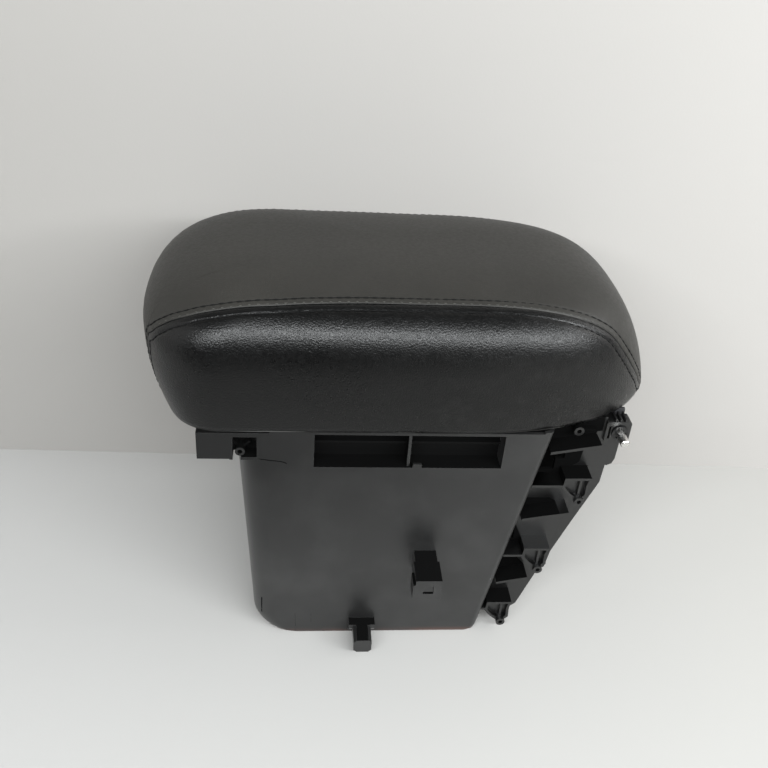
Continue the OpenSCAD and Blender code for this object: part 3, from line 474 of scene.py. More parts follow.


# Deep recesses of the carrier, which get painted shade as a black matt face: reach from the
# centre plane, then corners as x and z, in millimetres
RECESSES = (
    (71.9, (80, 165), (93.2, 165.2), (130, 172), (130, 186), (80, 186)),
    (79.6, (80, 161.6), (126.5, 170.4), (126.5, 173), (80, 166.5)),
    (79.6, (80, 136.5), (107, 136.5), (119, 146), (122, 169.4), (80, 161.4)),
    (79.6, (104, 142.3), (126, 142.3), (126, 143), (104, 143)),
    (79.6, (70, 104.8), (83, 106.7), (109, 111.4), (104, 114.5), (70, 114.5)),
    (63.5, (80, 103.4), (140, 103.4), (140, 158), (80, 158)),
    (79.6, (60, 73.4), (88.8, 73.4), (88.8, 79), (84, 90), (60, 90)),
    (79.6, (60, 44.4), (73.6, 46.7), (95.6, 51.3), (88, 60), (80, 61.5), (60, 61.5)),
    (79.6, (50, 20.1), (69.4, 20.1), (69.4, 26), (66, 34), (50, 34)),
    (79.6, (69, 25.9), (88, 25.9), (88, 26.6), (69, 26.6)),
)
# How far outside and inside its border a recess begins to darken and is dark, in metres
BORDER_OUT, BORDER_IN = 0.0001, 0.0003


def recessed(m):
    """Share of painted shade: 1 on the carrier's faces inside the recesses."""
    x, z = m.axis("X"), m.axis("Z")
    total = None
    away = m.math("ABSOLUTE", m.axis("Y"))
    for reach, *corners in RECESSES:
        inside = m.math("LESS_THAN", away, reach * MM)
        for (x0, z0), (x1, z1) in zip(corners, corners[1:] + corners[:1]):
            size = math.hypot(x1 - x0, z1 - z0)
            a, b = (z0 - z1) / size, (x1 - x0) / size
            way = m.math("ADD", m.math("MULTIPLY", x, a), m.math("MULTIPLY", z, b))
            level = (a * x0 + b * z0) * MM
            edge = m.span(way, level - BORDER_OUT, level + BORDER_IN)
            inside = m.math("MULTIPLY", inside, edge)
        total = inside if total is None else m.math("MAXIMUM", total, inside)
    return total


def steel(name, colour, rough, along=(1.0, 0.08, 1.0)):
    """Turned or drawn steel with fine lines and slight tarnish."""
    m = Shader(name)
    lines = m.noise(2600.0, 2.0, 0.5, m.scaled(along))
    stain = m.noise(160.0, 4.0)
    tone = m.varied(colour, stain, 0.45, 0.8, 1, 0.55)
    gloss = m.span(stain, 0.3, 0.8, rough - 0.05, rough + 0.15)
    gloss = m.math("ADD", gloss, m.span(lines, 0.3, 0.7, -0.05, 0.05))
    return m.finish(Base_Color=tone, Metallic=1.0, Roughness=gloss, Normal=m.bump(lines, 0.004))


def thread(name, colour):
    """Twisted sewing thread."""
    m = Shader(name)
    inputs = {"Vector": m.place, "Scale": 900.0, "Distortion": 1.5}
    twist = m.add("ShaderNodeTexWave", inputs, bands_direction="DIAGONAL").outputs["Fac"]
    tone = m.varied(colour, twist, 0.2, 0.8, 0.6, 1)
    normal = m.bump(twist, 0.03)
    return m.finish(Base_Color=tone, Roughness=0.7, Normal=normal, Specular_IOR_Level=0.2)


def foamed(name, colour):
    """Open-cell foam."""
    m = Shader(name)
    cell = m.cells(900.0)
    tone = m.varied(colour, m.noise(40.0), 0.3, 0.7, 0.85, 1)
    return m.finish(Base_Color=tone, Roughness=0.9, Normal=m.bump(cell, 0.3))


def bin_plastic(colour):
    """Plastic of the bin: an etched face, dust and wear, and painted shade on its side walls."""
    m = Shader("bin_plastic")
    x, z = m.axis("X"), m.axis("Z")
    grain = m.cells(1 / (0.55 * MM), 0.5)
    flow = m.noise(7.0, 3.0, 0.5, m.scaled((1.0, 1.0, 0.3)))
    tone = m.varied(colour, flow, 0.3, 0.7, 0.9, 1.1)
    # Dust haze
    haze = m.span(m.noise(26.0, 5.0, 0.6), 0.45, 0.8, 0.0, 0.1)
    tone = m.mix(haze, tone, BIN_HAZE)
    # Reddish rub along the lower edge
    low = m.span(z, 0.006, 0.001)
    tint = m.math("MULTIPLY", low, m.span(m.noise(30.0, 3.0), 0.35, 0.6))
    tone = m.mix(m.math("MULTIPLY", tint, 0.5), tone, RUBBED_RED)
    # Upright scuffs low on the front
    streak = m.span(m.noise(240.0, 3.0, 0.6, m.scaled((1.0, 1.0, 0.12))), 0.64, 0.7)
    zone = m.math("MULTIPLY", m.span(z, 0.05, 0.012), m.span(x, -0.035, -0.06))
    scuff = m.math("MULTIPLY", streak, zone)
    tone = m.mix(m.math("MULTIPLY", scuff, 0.85), tone, SCUFF_BLACK)
    # Pale specks
    speck = m.span(m.cells(60.0), 0.035, 0.02)
    speck = m.math("MULTIPLY", speck, m.span(m.noise(18.0), 0.52, 0.6))
    tone = m.mix(speck, tone, SPECK_PALE)
    gloss = m.math("ADD", m.span(flow, 0.3, 0.7, 0.3, 0.37), m.math("MULTIPLY", haze, 0.8))
    # Painted shade: the side walls darken toward their upper front corner, under the lid
    wall = m.span(m.math("ABSOLUTE", m.axis("Y")), 0.077, 0.084)
    height = m.span(z, 0.055, 0.155, 0.0, 0.6)
    painted_shade = m.math("MULTIPLY", height, m.span(x, -0.1, 0.09, 1.0, 0.25))
    share = m.math("MULTIPLY", wall, painted_shade)
    return m.finish_with_painted_shade(share, tone, gloss, m.bump(grain, 0.03), 0.7)


MATERIALS = {}
# The top panel paler and a little warmer, the side panels darker, as shares of the leather's colour:
# the paler top is painted light and the darker sides painted shade
TOP_LIT_SHARES, SIDE_SHADE_SHARE = (3.1, 2.95, 2.6), 0.3
# Their roughness against the leather's, and the depth of their grain in millimetres
TOP_DULLER, SIDE_GLOSSIER = 0.04, 0.13
TOP_GRAIN, SIDE_GRAIN = 0.05, 0.12
# The carrier's colour as a share of the bin's
CARRIER_SHARE = 0.4
# Scale of the lines on screws, which have none along them
NO_LINES = (1.0, 1.0, 1.0)


def make_materials(look):
    dark, plastic = tuple(look.leather_colour), tuple(look.bin_colour)
    # Painted light and shade: the lit top paler, the sides darker
    top, side = tuple(k * c for k, c in zip(TOP_LIT_SHARES, dark)), times(dark, SIDE_SHADE_SHARE)
    rough, grain = look.leather_roughness, look.grain
    carrier = times(plastic, CARRIER_SHARE)
    MATERIALS.update(
        leather_top=leather("leather_top", top, rough + TOP_DULLER, grain, TOP_GRAIN),
        leather_side=leather("leather_side", side, rough - SIDE_GLOSSIER, grain, SIDE_GRAIN),
        thread_dark=thread("thread_dark", (0.004, 0.004, 0.004)),
        # Paler thread: a painted glint on the seam's dark stitches
        thread_light=thread("thread_light", (0.09, 0.088, 0.08)),
        bin_plastic=bin_plastic(plastic),
        # Near black matt plastic: painted shade in the bin's pockets and on flat tops under the lid
        pocket_plastic=moulded("pocket_plastic", (0.003, 0.003, 0.003), 0.6, 0.6, 0.03, 0.08),
        # The carrier gets painted shade in its deep recesses
        carrier_plastic=moulded("carrier_plastic", carrier, 0.3, 0.6, 0.02, 0.7, recessed),
        liner_plastic=moulded("liner_plastic", (0.03, 0.03, 0.032), 0.42, 0.5, 0.04),
        lever_plastic=moulded("lever_plastic", (0.02, 0.02, 0.022), 0.35, 0.4, 0.02),
        frame_plastic=moulded("frame_plastic", (0.05, 0.05, 0.05), 0.5),
        bush_plastic=moulded("bush_plastic", (0.8, 0.79, 0.75), 0.45),
        mat_rubber=moulded("mat_rubber", (0.02, 0.02, 0.02), 0.7, 0.4, 0.06),
        stop_rubber=moulded("stop_rubber", (0.015, 0.015, 0.015), 0.65, 0.4, 0.04),
        mark_black=moulded("mark_black", (0.003, 0.003, 0.003), 0.8, specular=0.05),
        # Paler finish on eased edges: a painted highlight
        worn_edge=moulded("worn_edge", (0.11, 0.11, 0.108), 0.4, 0.5, 0.02),
        # Paler hem under the leather: a painted highlight
        edge_gloss=moulded("edge_gloss", (0.05, 0.05, 0.048), 0.3, 0.5, 0.02),
        foam=foamed("foam", (0.6, 0.55, 0.42)),
        screw_steel=steel("screw_steel", (0.55, 0.55, 0.53), 0.35, NO_LINES),
        screw_black=steel("screw_black", (0.05, 0.05, 0.05), 0.4, NO_LINES),
        bright_steel=steel("bright_steel", (0.66, 0.65, 0.63), 0.25),
        spring_steel=steel("spring_steel", (0.06, 0.06, 0.06), 0.4),
        bracket_steel=moulded("bracket_steel", (0.03, 0.03, 0.032), 0.38, 1.2, 0.02),
    )


# ---------------- cover
# Least gap between stations, then reach outwards, reach inwards and number of the close and the
# closest ones beside a seam's foot
STATION_GAP = 5e-4
CLOSE_OUT, CLOSE_IN, CLOSE_COUNT = 0.06, 0.1, 26
FOOT_OUT, FOOT_IN, FOOT_COUNT = 0.004, RAMP * 1.6, 18
# Points along a station, and powers that crowd points and rows toward the seam
LEVEL_COUNT, LEVEL_POWER = 240, 1.3
TOP_ROW_POWER, SIDE_ROW_POWER = 1.8, 1.7
# A side panel begins and ends just inside the seam's feet
SIDE_TRIM = 1e-4
# Glossy edge under the leather, paler as a painted highlight, in millimetres
EDGE_POINTS, EDGE_SIDES = 240, 10
EDGE_RADIUS, EDGE_LIFT, EDGE_INSET = 0.6, 0.45, 0.6


def column_stations(count):
    """Stations over one half, closer where the seam runs down to the foot."""
    rear, front = SEAM_ENDS
    foot = np.linspace(-FOOT_OUT, FOOT_IN, FOOT_COUNT)
    groups = (
        np.linspace(0, 3, count),
        np.linspace(rear - CLOSE_OUT, rear + CLOSE_IN, CLOSE_COUNT),
        np.linspace(front - CLOSE_IN, front + CLOSE_OUT, CLOSE_COUNT),
        rear + foot,
        front - foot,
        SEAM_ENDS,
    )
    s = np.unique(np.concatenate(groups))
    keep = [s[0]]
    for v in s[1:]:
        if v - keep[-1] > STATION_GAP or v in SEAM_ENDS:
            keep.append(v)
    return np.array(keep)


def by_length(q, a, b, shares):
    """Levels between a and b at the given shares of the length along each station."""
    u = np.linspace(0, 1, LEVEL_COUNT) ** LEVEL_POWER
    rows = []
    for qi, ai, bi in zip(q, a, b):
        level = ai + (bi - ai) * u
        run = run_along(lid_point(np.broadcast_to(qi, (len(u), 4)), level))
        found = np.interp(shares * run[-1], run, level) if run[-1] > 0 else np.full(len(shares), ai)
        rows.append(found)
    return np.array(rows)


def grid_points(q, levels):
    """Outer points at each station's row of levels."""
    return np.array([lid_point(np.broadcast_to(qi, (len(li), 4)), li) for qi, li in zip(q, levels)])


def both_halves(half):
    """A closed loop of stations: those given, then their mirror images on the way back."""
    other = half[-2:0:-1].copy()
    other[..., 1] *= -1
    return np.concatenate([half, other])


def quads(columns, rows, closed):
    """Faces between neighbour columns of points, round to the first column if closed."""
    count = columns if closed else columns - 1
    pairs = [(i * rows, (i + 1) % columns * rows) for i in range(count)]
    return [(a + k, b + k, b + k + 1, a + k + 1) for a, b in pairs for k in range(rows - 1)]


def draw_in(mesh):
    """Moves each point in along its normal by the depth of the sewing, and takes it to metres."""
    for v, n in [(v, v.normal.copy()) for v in mesh.vertices]:
        v.co -= n * sewn_depth(v.co)
    for v in mesh.vertices:
        v.co *= MM
    mesh.update()


def panel(name, points, faces, material, thickness):
    """A sewn panel with its thickness, from its outer face in millimetres."""
    mesh = mesh_of(name, points, faces)
    draw_in(mesh)
    obj = new_object(name, mesh, None, MATERIALS[material])
    solid = obj.modifiers.new("thickness", "SOLIDIFY")
    solid.thickness = thickness * MM
    solid.offset = -1
    solid.use_even_offset = False
    bake(obj)
    return obj


def top_panel(look):
    """Panel over the crown, from seam to seam and down to the foot at the rear and the front."""
    s = column_stations(look.columns)
    level, _ = seam_levels(s)
    q = station(s)
    shares = np.linspace(0, 1, look.rows) ** TOP_ROW_POWER
    grid = both_halves(grid_points(q, by_length(q, level, np.ones(len(s)), shares)))
    n, m = grid.shape[0], grid.shape[1] - 1
    points = grid[:, :m].reshape(-1, 3).tolist() + [(0, 0, CROWN_Z)]
    faces = quads(n, m, True)
    faces += [(i * m + m - 1, (i + 1) % n * m + m - 1, n * m) for i in range(n)]
    return panel("cover_top_panel", points, faces, "leather_top", look.cover_thickness)


def side_panel(look, name, mirror):
    """Panel from a seam down to the foot, on the near side if mirrored."""
    s = column_stations(look.columns)
    s = s[(s >= SEAM_ENDS[0] + SIDE_TRIM) & (s <= SEAM_ENDS[1] - SIDE_TRIM)]
    level = np.interp(s, FINE, seam_levels(FINE)[0])
    q = station(s)
    shares = np.linspace(0, 1, look.side_rows) ** SIDE_ROW_POWER
    grid = grid_points(q, by_length(q, level, np.zeros(len(s)), shares))
    if mirror:
        grid[..., 1] *= -1
    turn = 1 if mirror else -1
    faces = [face[::turn] for face in quads(*grid.shape[:2], False)]
    points = grid.reshape(-1, 3).tolist()
    return panel(name, points, faces, "leather_side", look.cover_thickness)


def cover_edge():
    """Round glossy edge that follows the foot of the leather, paler as a painted highlight."""
    q = station(np.linspace(0, 3, EDGE_POINTS))
    loop = both_halves(lid_point(q, np.zeros(len(q))))
    count = len(loop)
    points, faces = [], []
    for i in range(count):
        along = loop[(i + 1) % count] - loop[i - 1]
        out = np.array([along[1], -along[0], 0]) / np.hypot(along[0], along[1])
        centre = loop[i] - out * EDGE_INSET + EDGE_LIFT * UP
        for k in range(EDGE_SIDES):
            a = 2 * math.pi * k / EDGE_SIDES
            points.append((centre + EDGE_RADIUS * (math.cos(a) * out + math.sin(a) * UP)) * MM)
    for i in range(count):
        a, b = i * EDGE_SIDES, (i + 1) % count * EDGE_SIDES
        for k in range(EDGE_SIDES):
            j = (k + 1) % EDGE_SIDES
            faces.append((a + k, b + k, b + j, a + j))
    mesh = mesh_of("cover_edge", points, faces)
    outward(mesh)
    new_object("cover_edge", mesh, "lid", MATERIALS["edge_gloss"])


# ---------------- stitches
# How far stitches stand proud of the leather and threads lie in it, in millimetres
STITCH_LIFT, THREAD_LIFT = 0.1, -0.05
STITCH_THICKNESS, THREAD_RADIUS = 0.95, 0.24
# The seam's own stitches and thread
SEAM_STITCH_SHARE, SEAM_STITCH_THICKNESS, SEAM_THREAD_RADIUS = 0.5, 0.5, 0.2
# Stitch form, and how much its size varies
BALL_SEGMENTS, BALL_RINGS = 8, 6
STITCH_LEAST, STITCH_MOST, STITCH_SEED = 0.92, 1.06, 5
THREAD_SIDES = 6
# Point inside the lid that a row is lifted away from, and the weight of each axis in that
ROW_CENTRE, ROW_WEIGHTS = np.array([-10.0, 0.0, 200.0]), np.array([0.25, 1, 1.3])


def stitch_tree():
    """Geometry nodes that lay thread stitches along a curve."""
    tree = bpy.data.node_groups.new("stitch_row", "GeometryNodeTree")
    sockets = [("Geometry", "Geometry"), ("Pitch", "Float"), ("Length", "Float")]
    for name, kind in [*sockets, ("Thickness", "Float"), ("Material", "Material")]:
        tree.interface.new_socket(name, in_out="INPUT", socket_type="NodeSocket" + kind)
    tree.interface.new_socket("Geometry", in_out="OUTPUT", socket_type="NodeSocketGeometry")

    def add(kind, inputs=None, **settings):
        return add_node(tree, kind, inputs, **settings).outputs

    given = add("NodeGroupInput")
    along = {"Curve": given["Geometry"], "Length": given["Pitch"]}
    points = add("GeometryNodeCurveToPoints", along, mode="LENGTH")
    form = {"Segments": BALL_SEGMENTS, "Rings": BALL_RINGS, "Radius": 0.5}
    ball = add("GeometryNodeMeshUVSphere", form)["Mesh"]
    sizes = {"X": given["Thickness"], "Y": given["Thickness"], "Z": given["Length"]}
    size = add("ShaderNodeCombineXYZ", sizes)[0]
    limits = {2: STITCH_LEAST, 3: STITCH_MOST, "Seed": STITCH_SEED}
    random = add("FunctionNodeRandomValue", limits, data_type="FLOAT")[1]
    vary = add("ShaderNodeVectorMath", {0: size, "Scale": random}, operation="SCALE")[0]
    turn = add("FunctionNodeAlignRotationToVector", {"Vector": points["Tangent"]}, axis="Z")[0]
    laid = {"Points": points["Points"], "Instance": ball, "Rotation": turn, "Scale": vary}
    lay = add("GeometryNodeInstanceOnPoints", laid)[0]
    real = add("GeometryNodeRealizeInstances", {0: lay})[0]
    shade = add("GeometryNodeSetShadeSmooth", {"Geometry": real})[0]
    painted = {"Geometry": shade, "Material": given["Material"]}
    add("NodeGroupOutput", {0: add("GeometryNodeSetMaterial", painted)[0]})
    return tree


def stitched(name, lines, tree, pitch, length, thickness, material):
    """Stitches along lines, as one plain mesh on the lid."""
    curve = bpy.data.curves.new(name, "CURVE")
    curve.dimensions = "3D"
    for line in lines:
        spline = curve.splines.new("POLY")
        spline.points.add(len(line) - 1)
        places = np.hstack([line * MM, np.ones((len(line), 1))])
        spline.points.foreach_set("co", places.ravel())
    source = bpy.data.objects.new(name + "_path", curve)
    bpy.context.scene.collection.objects.link(source)
    nodes = source.modifiers.new("stitches", "NODES")
    nodes.node_group = tree
    values = {"Pitch": pitch * MM, "Length": length * MM, "Thickness": thickness * MM}
    values["Material"] = material
    for item in tree.interface.items_tree:
        if item.item_type == "SOCKET" and item.in_out == "INPUT" and item.name in values:
            nodes[item.identifier] = values[item.name]
    mesh = evaluated_mesh(source)
    bpy.data.objects.remove(source)
    new_object(name, mesh, "lid", material)


def thread_line(name, lines, radius, material, body="lid"):
    """Continuous round thread or mark that lies along open lines."""
    points, faces, sides = [], [], THREAD_SIDES
    turns = np.arange(sides) * 2 * math.pi / sides
    for line in lines:
        base = len(points)
        along = np.gradient(line, axis=0)
        along /= np.linalg.norm(along, axis=1, keepdims=True)
        across = np.cross(along, UP)
        across /= np.linalg.norm(across, axis=1, keepdims=True)
        over = np.cross(across, along)
        for p, a, u in zip(line, across, over):
            points += [(p + radius * (math.cos(t) * a + math.sin(t) * u)) * MM for t in turns]
        for i in range(len(line) - 1):
            a, b = base + i * sides, base + (i + 1) * sides
            for k in range(sides):
                j = (k + 1) % sides
                faces.append((a + k, a + j, b + j, b + k))
        faces.append(tuple(base + k for k in range(sides))[::-1])
        faces.append(tuple(len(points) - sides + k for k in range(sides)))
    mesh = mesh_of(name, points, faces)
    outward(mesh)
    new_object(name, mesh, body, material)


def surface_row(name, lift):
    """A sewn row on both sides, laid on the drawn-in leather."""
    near = []
    for p in ROWS[name]:
        n = (p - ROW_CENTRE) * ROW_WEIGHTS
        n /= np.linalg.norm(n)
        near.append(p - n * (sewn_depth(p) - lift))
    one = np.array(near)
    two = one.copy()
    two[:, 1] *= -1
    return [one, two]


# ---------------- mouldings
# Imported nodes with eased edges: node, name, body, finish, width of the easing in millimetres
EASED = (
    ("bin_box", "bin_shell", "bin", "bin_plastic", 0.5),
    ("rear_carrier", "carrier_shell", "bin", "carrier_plastic", 0.3),
    ("hinge_rod", "hinge_rod_bar", "bin", "bright_steel", 0.3),
    ("rod_clips", "rod_clip_rings", "bin", "spring_steel", 0.1),
    ("striker", "striker_plate", "bin", "bright_steel", 0.2),
    ("lid_liner", "liner_panel", "lid", "liner_plastic", 0.5),
    ("hinge_bracket", "hinge_arms", "lid", "bracket_steel", 0.3),
    ("latch_housing", "latch_bezel", "lid", "liner_plastic", 0.2),
    ("latch_lever", "latch_paddle", "latch", "lever_plastic", 0.3),
    ("floor_mat", "floor_mat_sheet", "bin", "mat_rubber", 0.25),
    ("bump_stops", "bump_stop_posts", "bin", "stop_rubber", 0.3),
)
# Nodes whose eased edges get a painted highlight, a paler finish
HIGHLIGHTED_EDGES = ("bin_box", "rear_carrier")

# Side pockets whose faces get painted shade: ranges of x, of distance from the centre plane and of
# z, in metres
POCKETS = (
    (-0.0594, 0.0609, 0.0679, 0.0818, 0.153, 0.1794),
    (-0.1099, -0.0951, 0.0739, 0.083, 0.1593, 0.1768),
)
# Flat tops of pegs and towers outside the walls, which get painted shade from the lid over them:
# least upward share of the normal, least distance from the centre plane and greatest height in
# metres
TOP_SLOPE, TOP_AWAY, TOP_HEIGHT = 0.9, 0.0855, 0.09

# Bin's near wall, front corner and rounded foot, in millimetres
WALL_Y, CORNER_R, FOOT_R = 84.0, 16.0, 3
FRONT_X, FRONT_LEAN, BIN_HEIGHT = 98, 11, 182.6
# Hairline crack and black rub marks there: name, line as x and z, radius, sunk, points along it
CRACK = ((-96.9, 161.2), (-95, 160.6), (-93, 160), (-90.1, 159.7), (-86.8, 159.1))
CRACK += ((-83.2, 158.7), (-80, 158.3), (-78, 157.6), (-76.4, 156.7))
MARKS = (
    ("wall_crack", CRACK, 0.4, 0.16, 40),
    ("wall_rub_1", ((-92.7, 34.4), (-92.8, 19.1)), 0.7, 0.66, 12),
    ("wall_rub_2", ((-69.5, 20.9), (-68.9, 7.4)), 0.7, 0.66, 12),
    ("wall_rub_3", ((-58.1, 20.8), (-57.9, 11.4)), 0.7, 0.66, 12),
)
# How far a mark strays from its line, in millimetres
MARK_WANDER = 0.16


def shaded_face(face):
    """Tells if a face of the bin gets painted shade: a flat outer top, or a face in a pocket."""
    x, y, z = face.center
    if face.normal.z > TOP_SLOPE and abs(y) > TOP_AWAY and z < TOP_HEIGHT:
        return True
    return any(a < x < b and c < abs(y) < d and e < z < f for a, b, c, d, e, f in POCKETS)


def on_wall(x, z, sunk):
    """Point on the bin's near wall, or on its rounded front corner."""
    past = max(0.0, -(FRONT_X + FRONT_LEAN * z / BIN_HEIGHT) + CORNER_R - x)
    low = FOOT_R - math.sqrt(FOOT_R**2 - (FOOT_R - z) ** 2) if z < FOOT_R else 0
    return (x, -(WALL_Y - sunk - low - CORNER_R + math.sqrt(CORNER_R**2 - past**2)), z)


def wall_mark(name, line, radius, sunk, count):
    at = np.linspace(0, 1, count)
    run = np.linspace(0, 1, len(line))
    points = []
    for x, z in zip(*(np.interp(at, run, [p[i] for p in line]) for i in (0, 1))):
        aside = MARK_WANDER * noise.noise((x, z, 3.0))
        above = MARK_WANDER * noise.noise((x, z, 7.0))
        points.append(on_wall(x + aside, z + above, sunk))
    mark = MATERIALS["mark_black"]
    thread_line(name, [np.array(points)], radius, mark, "bin")


# ---------------- stage
# Floor's corners, the two ends of the wall's foot as seen, and how far the wall reaches, in metres
FLOOR = [(-3, -0.45, 0), (0.05, -0.52, 0), (1.1, -2.5, 0), (3, -3, 0), (3, 3, 0), (-3, 3, 0)]
WALL_FOOT = (-0.33363, 0.12905), (0.37733, 0.11087)
WALL_REACH = 3
# Paints, lighter or darker from left to right as painted light: colours at the left and the right,
# and the x at which each is reached
FLOOR_PAINT = (0.5, 0.496, 0.488), (0.465, 0.458, 0.44), -0.35, 0.4
WALL_PAINT = (0.365, 0.352, 0.336), (0.46, 0.444, 0.427), -0.35, 0.45
MOTTLE = (0.5, 0.5, 0.5)
ROOM_LIGHT, ROOM_STRENGTH = (0.86, 0.88, 0.9, 1), 0.11
# Lamps: name, place, target, width and height, energy, colour
LAMPS = (
    ("front_window", (0.35, -1.0, 0.9), (0.35, 0, 0.15), (2.8, 0.12), 41, (0.96, 0.99, 1.0)),
    ("side_window", (1.35, 0.1, 0.9), (0, 0, 0.15), (0.8, 0.8), 9, (1.0, 0.99, 0.97)),
    ("right_window", (1.2, -0.8, 0.72), (0.1, -0.08, 0.22), (0.9, 0.16), 6, (0.97, 0.99, 1.0)),
    ("left_fill", (-1.3, -0.2, 0.6), (0, 0, 0.15), (1.0, 1.0), 3, (1.0, 1.0, 0.99)),
)
# Camera as fitted to the photograph: place in metres, degrees, and lens and sensor in millimetres
CAMERA_PLACE = Vector((-0.07123, -0.52987, 0.51371))
CAMERA_TILT, CAMERA_YAW, CAMERA_ROLL = 33.38, 6.665, 4.644
CAMERA_LENS, CAMERA_SENSOR = 42.19, 36


def plane(name, corners, material):
    mesh = mesh_of(name, corners, [tuple(range(len(corners)))], False)
    obj = new_object(name, mesh, None, material)


def stage_material(name, left, right, x0, x1, one_sided):
    """Matt backdrop paint with painted light from left to right; one-sided, its back isn't seen."""
    m = Shader(name)
    tone = m.mix(m.span(m.axis("X"), x0, x1), left, right)
    tone = m.mix(m.span(m.noise(3.0), 0.3, 0.7, 0.0, 0.05), tone, MOTTLE)
    normal = m.bump(m.noise(500.0, 3.0), 0.05)
    paint = m.finish(Base_Color=tone, Roughness=0.85, Specular_IOR_Level=0.2, Normal=normal)
    if one_sided:
        front = m.out.inputs[0].links[0].from_socket
        clear = m.add("ShaderNodeBsdfTransparent").outputs[0]
        back = m.add("ShaderNodeNewGeometry").outputs["Backfacing"]
        seen = m.add("ShaderNodeLightPath").outputs["Is Camera Ray"]
        share = m.math("MULTIPLY", back, seen)
        both = m.add("ShaderNodeMixShader", {0: share, 1: front, 2: clear}).outputs[0]
        m.tree.links.new(both, m.out.inputs[0])
    return paint


def wall_corners():
    """Corners of the wall, whose foot runs through the two ends seen."""
    (x0, y0), (x1, y1) = WALL_FOOT
    slope = (y1 - y0) / (x1 - x0)
    left, right = ((x, y0 + slope * (x - x0)) for x in (-WALL_REACH, WALL_REACH))
    return [(*left, 0), (*right, 0), (*right, WALL_REACH), (*left, WALL_REACH)]


def lamp(name, place, target, size, energy, colour):
    data = bpy.data.lights.new(name, "AREA")
    data.shape = "RECTANGLE"
    data.size, data.size_y = size
    data.energy = energy
    data.color = colour
    obj = bpy.data.objects.new(name, data)
    bpy.context.scene.collection.objects.link(obj)
    obj.location = place
    obj.rotation_euler = (Vector(target) - Vector(place)).to_track_quat("-Z", "Y").to_euler()


def camera_turn():
    """Camera's axes from its tilt below level, its yaw to the right and its roll."""
    tilt, yaw, roll = (math.radians(v) for v in (CAMERA_TILT, CAMERA_YAW, CAMERA_ROLL))
    level = math.cos(tilt)
    ahead = Vector((math.sin(yaw) * level, math.cos(yaw) * level, -math.sin(tilt)))
    right = Vector((math.cos(yaw), -math.sin(yaw), 0))
    up = right.cross(ahead)
    rolled_right = math.cos(roll) * right + math.sin(roll) * up
    rolled_up = -math.sin(roll) * right + math.cos(roll) * up
    return Matrix((rolled_right, rolled_up, -ahead)).transposed()


# ---------------- settings and operators
class ArmrestLook(bpy.types.PropertyGroup):
    """Sizes and colours that a user may change"""

    leather_colour: FloatVectorProperty(
        name="Leather colour", description="Base colour of the leatherette",
        default=(0.007, 0.007, 0.007), subtype="COLOR", min=0, max=1,
    )
    leather_roughness: FloatProperty(
        name="Leather roughness", description="Roughness of the leatherette",
        default=0.44, min=0.1, max=1, subtype="FACTOR",
    )
    grain: FloatProperty(
        name="Grain size", description="Width of one grain cell in millimetres",
        default=1.0, min=0.4, max=3,
    )
    bin_colour: FloatVectorProperty(
        name="Bin colour", description="Base colour of the moulded bin",
        default=(0.012, 0.012, 0.012), subtype="COLOR", min=0, max=1,
    )
    cover_thickness: FloatProperty(
        name="Cover thickness", description="Thickness of the cover in millimetres",
        default=0.9, min=0.5, max=1.4,
    )
    stitch_pitch: FloatProperty(
        name="Stitch pitch", description="Distance from stitch to stitch in millimetres",
        default=5.2, min=3, max=8,
    )
    stitch_length: FloatProperty(
        name="Stitch length", description="Visible length of one stitch in millimetres",
        default=3.8, min=1, max=6,
    )
    columns: IntProperty(
        name="Columns", description="Columns of the cover's mesh over one half",
        default=190, min=60, max=400,
    )
    rows: IntProperty(
        name="Top rows", description="Rows of the top panel's mesh",
        default=58, min=20, max=100,
    )
    side_rows: IntProperty(
        name="Side rows", description="Rows of a side panel's mesh",
        default=52, min=20, max=100,
    )


class ARMREST_OT_cover(bpy.types.Operator):
    """Sewn cover: a top panel, two side panels and the glossy, highlight-painted edge under them"""

    bl_idname = "armrest.cover"
    bl_label = "Sewn cover"

    def execute(self, context):
        look = context.scene.armrest_look
        panels = (
            (top_panel(look), "cover_top", "leather_top"),
            (side_panel(look, "cover_near_panel", True), "cover_side_near", "leather_side"),
            (side_panel(look, "cover_far_panel", False), "cover_side_far", "leather_side"),
        )
        for obj, node, slot in panels:
            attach(obj, "lid")
            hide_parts(node)
        cover_edge()
        return {"FINISHED"}


class ARMREST_OT_stitches(bpy.types.Operator):
    """Topstitches on both sides of the seams and the seams' own thread"""

    bl_idname = "armrest.stitches"
    bl_label = "Stitches"

    def execute(self, context):
        look = context.scene.armrest_look
        tree = stitch_tree()
        pitch, length = look.stitch_pitch, look.stitch_length
        dark, light = MATERIALS["thread_dark"], MATERIALS["thread_light"]
        for row in ("top", "side"):
            proud, sunk = surface_row(row, STITCH_LIFT), surface_row(row, THREAD_LIFT)
            stitched("stitches_" + row, proud, tree, pitch, length, STITCH_THICKNESS, dark)
            thread_line("thread_" + row, sunk, THREAD_RADIUS, dark)
        length *= SEAM_STITCH_SHARE
        # The seam's stitches get the paler thread as a painted glint
        proud, sunk = surface_row("light", STITCH_LIFT), surface_row("seam", THREAD_LIFT)
        stitched("stitches_seam", proud, tree, pitch, length, SEAM_STITCH_THICKNESS, light)
        thread_line("thread_seam", sunk, SEAM_THREAD_RADIUS, dark)
        return {"FINISHED"}


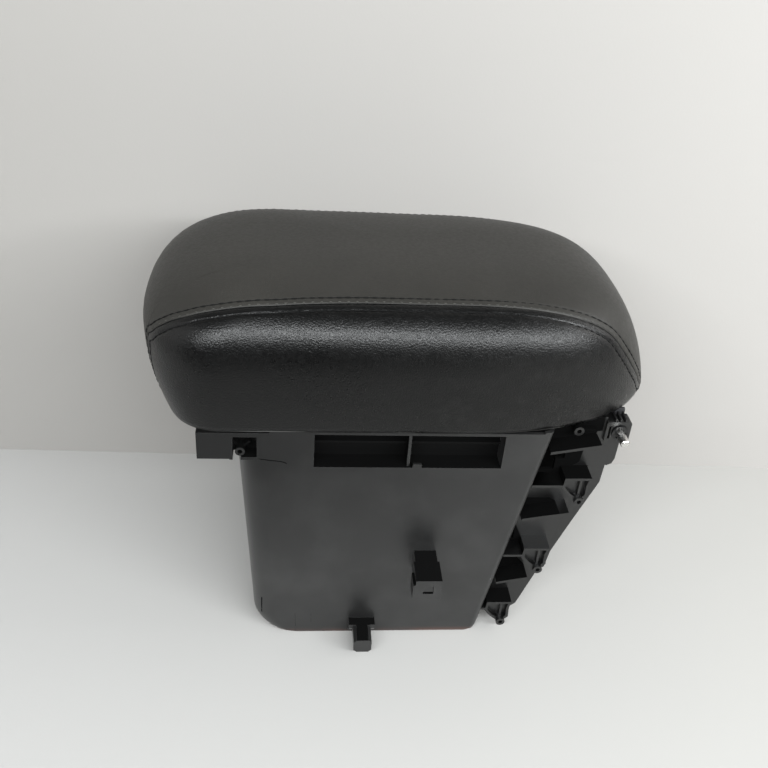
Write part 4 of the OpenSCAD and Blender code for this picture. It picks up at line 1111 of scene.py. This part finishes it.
class ARMREST_OT_mouldings(bpy.types.Operator):
    """Bin, carrier and hinge pieces with their edges eased, and finishes for the rest"""

    bl_idname = "armrest.mouldings"
    bl_label = "Mouldings"

    def execute(self, context):
        slots = {p["node"]: p["material_slot"] for p in frame["record"]["subparts"]}
        for node, name, body, finish, width in EASED:
            highlight = MATERIALS["worn_edge"] if node in HIGHLIGHTED_EDGES else None
            obj = eased(node, name, body, MATERIALS[finish], width, highlight)
            # Faces of the bin that stay in shadow get the painted shade finish
            if node == "bin_box":
                obj.data.materials.append(MATERIALS["pocket_plastic"])
                for face in filter(shaded_face, obj.data.polygons):
                    face.material_index = SHADED_FINISH
        for mark in MARKS:
            wall_mark(*mark)
        done = {entry[0] for entry in EASED}
        for node, obj in frame["nodes"].items():
            if node not in done and slots[node] in MATERIALS:
                obj.data.materials.clear()
                obj.data.materials.append(MATERIALS[slots[node]])
        return {"FINISHED"}


class ARMREST_OT_stage(bpy.types.Operator):
    """Pale floor and wall, soft lamps and the camera"""

    bl_idname = "armrest.stage"
    bl_label = "Stage"

    def execute(self, context):
        scene = context.scene
        floor = stage_material("floor_paint", *FLOOR_PAINT, False)
        wall = stage_material("wall_paint", *WALL_PAINT, True)
        plane("floor", FLOOR, floor)
        plane("wall", wall_corners(), wall)
        world = bpy.data.worlds.new("room")
        scene.world = world
        world.use_nodes = True
        background = world.node_tree.nodes["Background"]
        background.inputs["Color"].default_value = ROOM_LIGHT
        background.inputs["Strength"].default_value = ROOM_STRENGTH
        for entry in LAMPS:
            lamp(*entry)
        data = bpy.data.cameras.new("camera")
        data.sensor_width = CAMERA_SENSOR
        data.lens = CAMERA_LENS
        camera = bpy.data.objects.new("camera", data)
        scene.collection.objects.link(camera)
        camera.matrix_world = Matrix.Translation(CAMERA_PLACE) @ camera_turn().to_4x4()
        scene.camera = camera
        scene.view_settings.view_transform = "Standard"
        return {"FINISHED"}


class ARMREST_PT_panel(bpy.types.Panel):
    """Settings of the armrest and the buttons that build it"""

    bl_label = "Armrest"
    bl_idname = "ARMREST_PT_panel"
    bl_space_type = "VIEW_3D"
    bl_region_type = "UI"
    bl_category = "Armrest"

    def draw(self, context):
        look = context.scene.armrest_look
        for name in look.bl_rna.properties.keys():
            if name not in ("rna_type", "name"):
                self.layout.prop(look, name)
        for operator in OPERATORS:
            self.layout.operator(operator.bl_idname)


OPERATORS = (ARMREST_OT_cover, ARMREST_OT_stitches, ARMREST_OT_mouldings, ARMREST_OT_stage)
CLASSES = (ArmrestLook, *OPERATORS, ARMREST_PT_panel)


def register():
    for cls in CLASSES:
        bpy.utils.register_class(cls)
    bpy.types.Scene.armrest_look = PointerProperty(type=ArmrestLook)


def unregister():
    del bpy.types.Scene.armrest_look
    for cls in reversed(CLASSES):
        bpy.utils.unregister_class(cls)


def main():
    register()
    make_materials(bpy.context.scene.armrest_look)
    bpy.ops.armrest.cover()
    bpy.ops.armrest.stitches()
    bpy.ops.armrest.mouldings()
    bpy.ops.armrest.stage()


if __name__ == "__main__":
    main()
